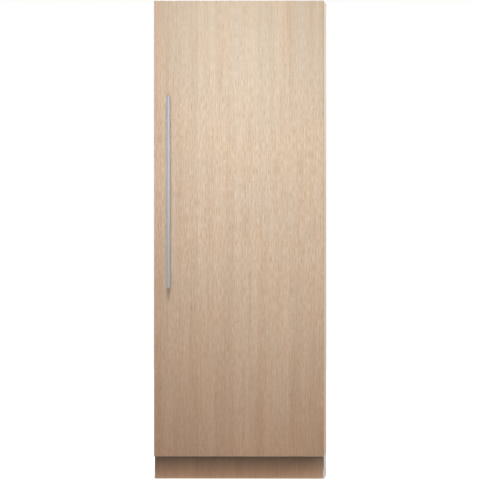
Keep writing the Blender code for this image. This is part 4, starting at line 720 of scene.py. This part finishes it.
class FRIDGE_OT_stage(bpy.types.Operator):
    """Lays the floor, sets the white surround, hangs the lamps and places the camera"""
    bl_idname = "fridge.stage"
    bl_label = "Stage"

    def execute(self, context):
        scene = context.scene
        scene.view_settings.view_transform = "Standard"
        scene.world = bpy.data.worlds.new("surround")
        scene.world.use_nodes = True
        tree = scene.world.node_tree
        tree.nodes.clear()
        put = partial(add, tree)
        # The eye sees white, while the pieces are lit by a dim, slightly warm room.
        room = (0.09, 0.085, 0.080, 1.0)
        mixed = put("Mix", {0: eye_rays(put), 6: room, 7: WHITE}, data_type="RGBA").outputs[2]
        put("OutputWorld", {"Surface": put("Background", {"Color": mixed, "Strength": 1.0})})

        reach, deep = 30, 0.05
        mesh = mesh_of("studio_floor", [block(-reach, reach, -reach, reach, -deep, 0.0)])
        mesh.materials.append(finish("pale_floor"))
        floor = bpy.data.objects.new("studio_floor", mesh)
        scene.collection.objects.link(floor)

        blue, warm, cream, plain = "#fbfdff", "#ffe2cc", "#fffaf2", "#ffffff"
        for name, place, target, width, height, power, colour in (
                ("key", (-0.24, FRONT - 1.6, 2.1), (-0.03, FRONT, 1.5), 0.35, 1.4, 18.8, blue),
                ("right_front", (1.3, FRONT - 2.0, 1.85), (0.1, FRONT, 1.4), 1.2, 0.9, 6.0, blue),
                ("front_fill", (-0.34, FRONT - 2.1, 0.95), (-0.08, FRONT, 0.6), 0.4, 1.1, 8.6,
                 warm),
                ("right_fill", (2.6, FRONT - 0.15, 1.5), (0.0, 0.1, 1.1), 1.4, 1.4, 31.0, cream),
                ("left_fill", (-2.6, 0.45, 1.6), (0.0, 0.1, 1.0), 1.4, 1.4, 22.0, plain),
                ("back_fill", (0.4, 3.2, 2.2), (0.0, 0.3, 1.0), 2.0, 1.4, 34.0, plain)):
            light = bpy.data.lights.new(name, "AREA")
            light.shape, light.size, light.size_y = "RECTANGLE", width, height
            light.energy, light.color = power, hex_colour(colour)[:3]
            lamp = bpy.data.objects.new(name, light)
            lamp.location = place
            aim = Vector(target) - Vector(place)
            lamp.rotation_euler = aim.to_track_quat("-Z", "Y").to_euler()
            lamp.visible_camera = False
            scene.collection.objects.link(lamp)

        # A long lens far off, level with the refrigerator's middle, gives the photo's flat view.
        distance, sideways, level, aim_x = 35.7, 1.116, 1.0693, 0.0036
        lens = bpy.data.cameras.new("camera")
        lens.sensor_width, lens.lens, lens.clip_end = 36.0, 602.3, 200.0
        camera = bpy.data.objects.new("camera", lens)
        camera.location = (sideways, FRONT - distance, level)
        aim = Vector((aim_x, FRONT, level)) - camera.location
        camera.rotation_euler = aim.to_track_quat("-Z", "Y").to_euler()
        scene.collection.objects.link(camera)
        scene.camera = camera
        return {"FINISHED"}


class FRIDGE_OT_wood(bpy.types.Operator):
    """Veneers the door panel, the toe kick and the side skins"""
    bl_idname = "fridge.wood"
    bl_label = "Oak panels"

    def execute(self, context):
        for node, share in (("door_panel", 1.0), ("toe_kick_board", 0.6), ("side_skin_left", 0.5),
                            ("side_skin_right", 0.5)):
            copies(sizes().veneer_ease * share, node)
        return {"FINISHED"}


class FRIDGE_OT_handle(bpy.types.Operator):
    """Turns the handle's bar and its two posts, which end in collars at the panel"""
    bl_idname = "fridge.handle"
    bl_label = "Handle"

    def execute(self, context):
        low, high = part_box("handle")
        radius, x, ease = (high.x - low.x) / 2, middle("handle")[0], sizes().handle_ease
        y, length = low.y + radius, high.z - low.z
        post, collar, reach, from_end = 0.0068, 0.0092, high.y - y, 0.090
        bar = turned(2, (x, y, low.z), [
            (0.0, radius - ease), (ease * 0.3, radius - ease * 0.3), (ease, radius),
            (length - ease, radius), (length - ease * 0.3, radius - ease * 0.3),
            (length, radius - ease)], 40)
        profile = [(0.0, post), (reach - 0.0052, post), (reach - 0.0048, collar - 0.0006),
                   (reach - 0.0042, collar), (reach - 0.0006, collar), (reach, collar - 0.0005)]
        stand_in("handle", [bar, *[turned(1, (x, y, z), profile)
                                   for z in (low.z + from_end, high.z - from_end)]])
        return {"FINISHED"}


class FRIDGE_OT_door_box(bpy.types.Operator):
    """Folds the door's steel pan and moulds its liner, the arch on it and the magnetic seal"""
    bl_idname = "fridge.door_box"
    bl_label = "Door box"

    def execute(self, context):
        dress("door_insulation")
        copies(0.0006, "door_outer_pan")
        copies(0.0022, "door_inner_liner", ease_steps=3)

        # The arch's section, as (distance from its inner line, depth), follows a line of
        # (x, z, outward x, outward z).
        low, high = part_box("door_dike")
        wide, thick, turn = 0.013, high.y - low.y, 0.024
        section = [(0.0, 0.0), (wide, 0.0), (wide, thick * 0.8), (wide - 0.0012, thick - 0.0022),
                   (wide - 0.0040, thick), (0.0040, thick), (0.0012, thick - 0.0022),
                   (0.0, thick * 0.8)]
        inner = high.x - wide
        line = [(-inner, low.z, -1.0, 0.0)]
        spring = high.z - wide - turn
        for side, begin in ((-1, 180), (1, 90)):
            for index in range(9):
                angle = math.radians(begin - 90 * index / 8)
                u, v = math.cos(angle), math.sin(angle)
                line.append((side * (inner - turn) + turn * u, spring + turn * v, u, v))
        line.append((inner, low.z, 1.0, 0.0))
        stand_in("door_dike", [[[(x + out_x * u, low.y + depth, z + out_z * u)
                                 for u, depth in section] for x, z, out_x, out_z in line]])

        # The seal's section, as (inset, depth): its foot, a bellows and the magnet's bulb.
        low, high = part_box("door_gasket")
        thick = high.y - low.y
        rings = []
        for inset, depth in (
                (0.0, 0.0), (0.018, 0.0), (0.018, 0.0026), (0.0148, 0.0036), (0.0128, 0.0052),
                (0.0148, 0.0066), (0.0160, 0.0076), (0.0163, 0.0098), (0.0152, thick),
                (0.0050, thick), (0.0037, 0.0098), (0.0040, 0.0076), (0.0055, 0.0066),
                (0.0075, 0.0052), (0.0055, 0.0036), (0.0, 0.0026)):
            corners = rounded(low.x + inset, high.x - inset, low.z + inset, high.z - inset,
                              max(0.0008, 0.012 - inset * 0.6), 4)
            rings.append([(x, low.y + depth, z) for x, z in corners])
        stand_in("door_gasket", mesh_of("door_gasket", [rings], around=True), smooth=60)
        return {"FINISHED"}


class FRIDGE_OT_door_bins(bpy.types.Operator):
    """Moulds the three clear bins, the dairy box and its lid"""
    bl_idname = "fridge.door_bins"
    bl_label = "Door bins"

    def execute(self, context):
        lug, overlap = 0.005, 0.004
        bin_form = (sizes().bin_wall, 0.034, 0.0018)
        for node, (wall, corner, rim) in (
                ("door_bin_1", bin_form), ("door_bin_2", bin_form), ("door_bin_3", bin_form),
                ("dairy_box", (0.0028, 0.020, 0.0015))):
            low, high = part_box(node)
            x0, x1 = low.x + lug, high.x - lug
            lugs = [block(near, far, low.y + 0.0122, low.y + 0.0298, low.z + 0.0302, low.z + 0.0438)
                    for near, far in ((low.x, x0 + overlap), (x1 - overlap, high.x))]
            body = tub((x0, low.y, low.z), (x1, high.y, high.z), wall,
                       (0.006, 0.006, corner, corner), 0.003, rim)
            stand_in(node, [body, *lugs], smooth=50)
        copies(0.0006, "dairy_lid")
        return {"FINISHED"}


class FRIDGE_OT_cabinet(bpy.types.Operator):
    """Forms the steel shell, the liner with rounded corners, the face frame and the back sheet"""
    bl_idname = "fridge.cabinet"
    bl_label = "Cabinet"

    def execute(self, context):
        dress("cabinet_insulation")
        copies(0.0003, "cabinet_shell")
        copies(0.0005, "face_frame")
        low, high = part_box("inner_liner")
        skin, corner, square = 0.0025, sizes().liner_corner, 0.001

        def ring(grown, inset, y, upper=0.018):
            """A ring grown outwards by the liner's thickness, pulled in by the back's rounding."""
            side, foot = skin - grown + inset, skin - grown + inset * 0.35
            radii = [max(square, radius + grown) for radius in (0.005, 0.005, upper, upper)]
            return [(x, y, z) for x, z in rounded(low.x + side, high.x - side, low.z + foot,
                                                  high.z - side, radii, 6)]

        def back(grown, y, arc):
            """The rings of the rounding between the sides and the back."""
            return [ring(grown, corner * (1 - math.cos(a)), y - corner * (1 - math.sin(a)))
                    for a in arc]

        # The upper corners run out to a square mouth, which the face frame's opening needs.
        stand_in("inner_liner", [[
            *back(0.0, high.y - skin, reversed(quarter(6))), ring(0.0, 0.0, low.y + 0.030),
            ring(0.0, 0.0, low.y + 0.0008, square), ring(skin * 0.3, 0.0, low.y, square),
            ring(skin, 0.0, low.y, square), *back(skin, high.y, quarter(6))]])

        # Three pressed beads stiffen the back sheet.
        low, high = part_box("back_panel")
        face = high.y - HEAD_ROOM
        stand_in("back_panel", [block(low.x, high.x, low.y, face, low.z, high.z)], ease=0.0003)
        beads = []
        for x in (-0.19, 0.0, 0.19):
            rim, crest = [
                rounded(x - half, x + half, low.z + 0.172 - half, high.z - 0.172 + half,
                        half - 0.0005, 6) for half in (0.012, 0.009)]
            beads.append([[(u, y, v) for u, v in outline] for outline, y in (
                (rim, face - 0.0001), (rim, face), (crest, high.y - 0.0001))])
        piece("back_panel_beads", beads, "galvanised_sheet", "cabinet", "zinc_steel", smooth=12)
        return {"FINISHED"}


class FRIDGE_OT_hinges(bpy.types.Operator):
    """Presses the two hinge plates"""
    bl_idname = "fridge.hinges"
    bl_label = "Hinges"

    def execute(self, context):
        copies(0.0006, "hinge_plate_top", "hinge_plate_bottom")
        return {"FINISHED"}


class FRIDGE_OT_base(bpy.types.Operator):
    """Makes the base frame, the feet, the rollers, the drain pan, the grilles and the inlet"""
    bl_idname = "fridge.base"
    bl_label = "Base"

    def execute(self, context):
        copies(0.0005, "base_frame")
        copies(0.0003, "base_grille")
        # The rear cover is pressed thinner than its node, which leaves room for its screws' heads.
        cover, share = copies(0.0002, "rear_cover_grille"), 0.6
        inside = Matrix.Translation((0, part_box("rear_cover_grille")[0].y, 0))
        cover.data.transform(inside @ Matrix.Diagonal((1, share, 1, 1)) @ inside.inverted())
        copies(0.0005, "power_inlet")
        pan = tub(*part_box("drain_pan"), 0.0022, (0.016,) * 4, 0.004, 0.0022, 0.006)
        stand_in("drain_pan", [pan], smooth=50)
        for side in ("left", "right"):
            self.foot("levelling_foot_" + side)
            self.roller("rear_roller_" + side)
        return {"FINISHED"}

    def foot(self, node):
        """A moulded pad under a threaded rod."""
        low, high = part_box(node)
        x, y, _ = middle(node)
        radius = (high.x - low.x) / 2
        stand_in(node, [turned(2, (x, y, 0.0), [
            (0.0, radius - 0.0012), (0.0012, radius), (0.0055, radius), (0.0070, radius - 0.0012),
            (0.0090, 0.0110), (0.0120, 0.0080)], 36)])
        collar, crest, groove, pitch = 0.0072, 0.0050, 0.0044, 0.0020
        profile = [(0.0105, collar), (0.0118, collar)]
        for index in range(int((high.z - 0.0140) / pitch)):
            z = 0.0125 + index * pitch
            profile += [(z, crest), (z + pitch * 0.5, groove)]
        rod = turned(2, (x, y, 0.0), [*profile, (high.z, groove)], 18)
        piece(node + "_thread", [rod], "zinc_screw", BODY_OF[node], "zinc_steel", smooth=60)

    def roller(self, node):
        """A moulded wheel with hollowed flanks and a rounded tread."""
        low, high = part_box(node)
        wide, radius = high.x - low.x, (high.z - low.z) / 2
        bore, hub, tread, edge = 0.0042, 0.0078, 0.006, 0.0006
        flank = [(0.0, bore), (0.0, hub), (tread - 0.001, hub), (tread, radius - 0.0056),
                 (tread - edge, radius - 0.0018), (tread + edge, radius)]
        flank += [(wide - along, r) for along, r in reversed(flank)]
        stand_in(node, [turned(0, (low.x, *middle(node)[1:]), flank, 40)], "nylon")


class FRIDGE_OT_machine(bpy.types.Operator):
    """Builds the compressor, the condenser with its fan and shroud, and the tubes between them"""
    bl_idname = "fridge.machine"
    bl_label = "Machine compartment"

    def execute(self, context):
        x, y, z = self.compressor()
        bend, reach, row_gap, turn = 0.0200, 0.7, 0.011, 0.0095
        low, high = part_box("condenser")
        x0, x1 = coil_fins("condenser", bend, sizes().fin_pitch)
        middle_y, end = middle("condenser")[1], x1 + bend * reach
        levels = spread(low.z, high.z, 0.018, 6)
        skins = [serpentine(x0 - bend * reach, end, row_y, levels, turn, 5, sizes().copper_tube)
                 for row_y in (middle_y - row_gap, middle_y + row_gap)]
        # The discharge tube runs low behind the fan to the compressor.
        behind, top = 0.385 + FRONT, levels[-1]
        skins.append(tube(bent([
            (end, middle_y + row_gap, top), (x1 + 0.030, middle_y + row_gap, top),
            (x1 + 0.030, behind, top), (x - 0.020, behind, top - 0.01),
            (x - 0.020, y - 0.050, z + 0.120)], 0.012, 6), sizes().copper_tube))
        piece("refrigerant_tubes", skins, "copper_pipe", "cabinet", "fin_aluminium", smooth=60)
        fan("condenser_fan", 0.021, -0.35, "black_abs")
        copies(0.0008, "condenser_fan_shroud")
        return {"FINISHED"}

    def compressor(self):
        """A domed can with a welded seam on two sheet feet, and returns the middle of its foot."""
        low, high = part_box("compressor")
        x, y, dome, height = low.x + 0.106, middle("compressor")[1], 0.076, high.z - low.z
        seam, aside, foot_y = height * 0.52, 0.085, 0.060
        bowl, crown, standing = 0.030, 0.045, 0.012
        profile = [(standing + bowl * (1 - math.cos(a)), dome * (0.25 + 0.74 * math.sin(a)))
                   for a in quarter(8)]
        profile += [(seam - 0.004, dome * 0.99), (seam - 0.0025, dome), (seam + 0.0025, dome),
                    (seam + 0.004, dome * 0.985)]
        profile += [(height - crown + crown * math.sin(a), dome * (0.25 + 0.73 * math.cos(a)))
                    for a in quarter(8)]
        skins = [turned(2, (x, y, low.z), profile, 56)]
        for offset in (-foot_y, foot_y):
            foot = rounded(x - 0.1005, x + 0.1005, y + offset - 0.014, y + offset + 0.014, 0.010)
            skins.append(prism(foot, 2, (low.z + 0.0085, low.z + 0.0115)))
        stand_in("compressor", skins, smooth=30)

        # The terminal cover on the can's side, and the rubber grommets that it stands on.
        cover = rounded(x - dome - 0.012, x - dome + 0.020, low.z + 0.052, low.z + 0.102, 0.006, 4)
        grommet = ((0.0, 0.0085), (0.0085, 0.0085), (0.0088, 0.0060), (0.0118, 0.0060),
                   (0.0121, 0.0080), (0.0160, 0.0075))
        skins = [prism(cover, 1, (y - 0.024, y + 0.024))]
        skins += [turned(2, (x + reach, y + offset, low.z), grommet, 20)
                  for offset in (-foot_y, foot_y) for reach in (-aside, aside)]
        piece("compressor_terminal_cover", skins, "foot_rubber", "cabinet", "black_plastic",
              ease=0.0008)
        return x, y, low.z


class FRIDGE_OT_air(bpy.types.Operator):
    """Makes the rear air duct with its fan, and the evaporator behind it"""
    bl_idname = "fridge.air"
    bl_label = "Air duct and evaporator"

    def execute(self, context):
        copies(0.0008, "rear_air_duct")
        low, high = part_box("evaporator")
        bend, reach = 0.022, 0.72
        x0, x1 = coil_fins("evaporator", bend, sizes().fin_pitch * 1.15)
        levels = spread(low.z, high.z, 0.020, 6)
        coil = serpentine(x0 - bend * reach, x1 + bend * reach, middle("evaporator")[1], levels,
                          0.0140, 6, 0.0042)
        piece("evaporator_tube", [coil], "fin_aluminium", "cabinet", "fin_aluminium", smooth=60)
        fan("evaporator_fan", 0.019, 0.35, "grey_abs")
        return {"FINISHED"}


class FRIDGE_OT_shelves(bpy.types.Operator):
    """Makes the shelf tracks, the three glass shelves and their front trims"""
    bl_idname = "fridge.shelves"
    bl_label = "Shelves"

    def execute(self, context):
        copies(0.0004, "shelf_track_left", "shelf_track_right", finish_name="satin_aluminium")
        inset = 0.004
        for shelf in ("shelf_1", "shelf_2", "shelf_3"):
            copies(0.0010, shelf + "_frame")
            copies(0.0008, shelf + "_glass")
            low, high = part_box(shelf + "_frame")
            face = rounded(low.x + inset, high.x - inset, high.z - 0.0170, high.z - 0.0015,
                           0.002, 4)
            piece(shelf + "_trim", [prism(face, 1, (low.y - 0.0006, low.y + 0.0010))],
                  "satin_aluminium", "cabinet", "fin_aluminium", ease=0.0003)
        return {"FINISHED"}


class FRIDGE_OT_drawers(bpy.types.Operator):
    """Moulds the two drawers, the glass over them, their rails and the humidity slide"""
    bl_idname = "fridge.drawers"
    bl_label = "Drawers"

    def execute(self, context):
        inset = 0.004
        for level in ("lower", "upper"):
            copies(0.0012, "drawer_bin_" + level, "drawer_front_" + level)
            low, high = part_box("drawer_front_" + level)
            # A satin rail across the top of the front is its pull, hollow below for the fingers.
            section = [(low.y + depth, high.z - 0.0040 - drop) for depth, drop in (
                (0.0030, 0.0), (-0.0030, 0.0), (-0.0048, 0.0012), (-0.0052, 0.0034),
                (-0.0052, 0.0150), (-0.0046, 0.0162), (-0.0038, 0.0150), (-0.0036, 0.0060),
                (-0.0022, 0.0044), (0.0030, 0.0040))]
            body = "drawer_" + level
            piece(body + "_pull", [prism(section, 0, (low.x + inset, high.x - inset))],
                  "satin_aluminium", body, "fin_aluminium")
        copies(0.0010, "crisper_cover_frame")
        copies(0.0008, "crisper_cover_glass")
        copies(0.0005, "drawer_rail_left", "drawer_rail_right", finish_name="nylon")
        copies(0.0008, "humidity_slide")
        return {"FINISHED"}


class FRIDGE_OT_light(bpy.types.Operator):
    """Makes the ceiling light, the control housing and its keys"""
    bl_idname = "fridge.light"
    bl_label = "Light and controls"

    def execute(self, context):
        copies(0.0020, "ceiling_light_lens", "control_housing", ease_steps=3)
        copies(0.0008, "control_key_1", "control_key_2", "control_key_3")
        return {"FINISHED"}


class FRIDGE_OT_screws(bpy.types.Operator):
    """Drives the screws of the back sheet, the two grilles, the top hinge and the shelf tracks"""
    bl_idname = "fridge.screws"
    bl_label = "Screws"

    def execute(self, context):
        forward, backward, up = (0.0, -1.0, 0.0), (0.0, 1.0, 0.0), (0.0, 0.0, 1.0)
        inset, edge_x = 0.012, 0.3625
        low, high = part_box("back_panel")
        flat = high.y - HEAD_ROOM
        edge = 0.010
        points = [(side * (high.x - edge), flat, z) for side in (-1, 1)
                  for z in spread(low.z, high.z, 0.02, 7)]
        points += [(x, flat, z) for x in (-0.18, 0.0, 0.18) for z in (low.z + edge, high.z - edge)]
        screws("back_panel_screws", points, backward, HEAD_ROOM)

        low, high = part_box("rear_cover_grille")
        points = [(x, high.y - HEAD_ROOM, z)
                  for x in (-edge_x, -0.2003, -0.0452, 0.110, 0.2722, edge_x)
                  for z in (low.z + inset, high.z - inset)]
        screws("rear_grille_screws", points, backward, HEAD_ROOM)

        low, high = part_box("base_grille")
        points = [(x, low.y, z) for x in (-edge_x, edge_x) for z in (low.z + inset, high.z - 0.015)]
        screws("base_grille_screws", points, forward, 0.0012)

        # The top hinge is held by two larger screws behind the face frame.
        x, high = middle("hinge_plate_top")[0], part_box("hinge_plate_top")[1]
        points = [(x, high.y - back, high.z) for back in (0.014, 0.048)]
        screws("top_hinge_screws", points, up, radius=0.0060)

        # The shelf tracks are fixed between their slots, away from the shelves' brackets.
        first, pitch = 0.04775, 0.0425
        for node in ("shelf_track_left", "shelf_track_right"):
            x, low = middle(node)[0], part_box(node)[0]
            points = [(x, low.y, low.z + first + pitch * step) for step in (0, 10, 19, 30)]
            screws(node + "_screws", points, forward, 0.0012, 0.0036)
        return {"FINISHED"}


OPERATORS = (
    FRIDGE_OT_stage, FRIDGE_OT_wood, FRIDGE_OT_handle, FRIDGE_OT_door_box, FRIDGE_OT_door_bins,
    FRIDGE_OT_cabinet, FRIDGE_OT_hinges, FRIDGE_OT_base, FRIDGE_OT_machine, FRIDGE_OT_air,
    FRIDGE_OT_shelves, FRIDGE_OT_drawers, FRIDGE_OT_light, FRIDGE_OT_screws)


class FRIDGE_PT_panel(bpy.types.Panel):
    """Lists the fridge's operators with its sizes and colours"""
    bl_idname = "FRIDGE_PT_panel"
    bl_label = "Column refrigerator"
    bl_space_type = "VIEW_3D"
    bl_region_type = "UI"
    bl_category = "Fridge"

    def draw(self, context):
        for made in OPERATORS:
            self.layout.operator(made.bl_idname)
        for group in (sizes(), colours()):
            box = self.layout.box()
            for name in group.bl_rna.properties.keys():
                if name not in {"rna_type", "name"}:
                    box.prop(group, name)


CLASSES = (FridgeSizes, FridgeColours, *OPERATORS, FRIDGE_PT_panel)


def register():
    for made in CLASSES:
        bpy.utils.register_class(made)
    bpy.types.Scene.fridge_sizes = bpy.props.PointerProperty(type=FridgeSizes)
    bpy.types.Scene.fridge_colours = bpy.props.PointerProperty(type=FridgeColours)


def unregister():
    del bpy.types.Scene.fridge_sizes
    del bpy.types.Scene.fridge_colours
    for made in reversed(CLASSES):
        bpy.utils.unregister_class(made)


def main():
    """Builds every piece in order."""
    register()
    for made in OPERATORS:
        group, call = made.bl_idname.split(".")
        getattr(getattr(bpy.ops, group), call)()


if __name__ == "__main__":
    main()
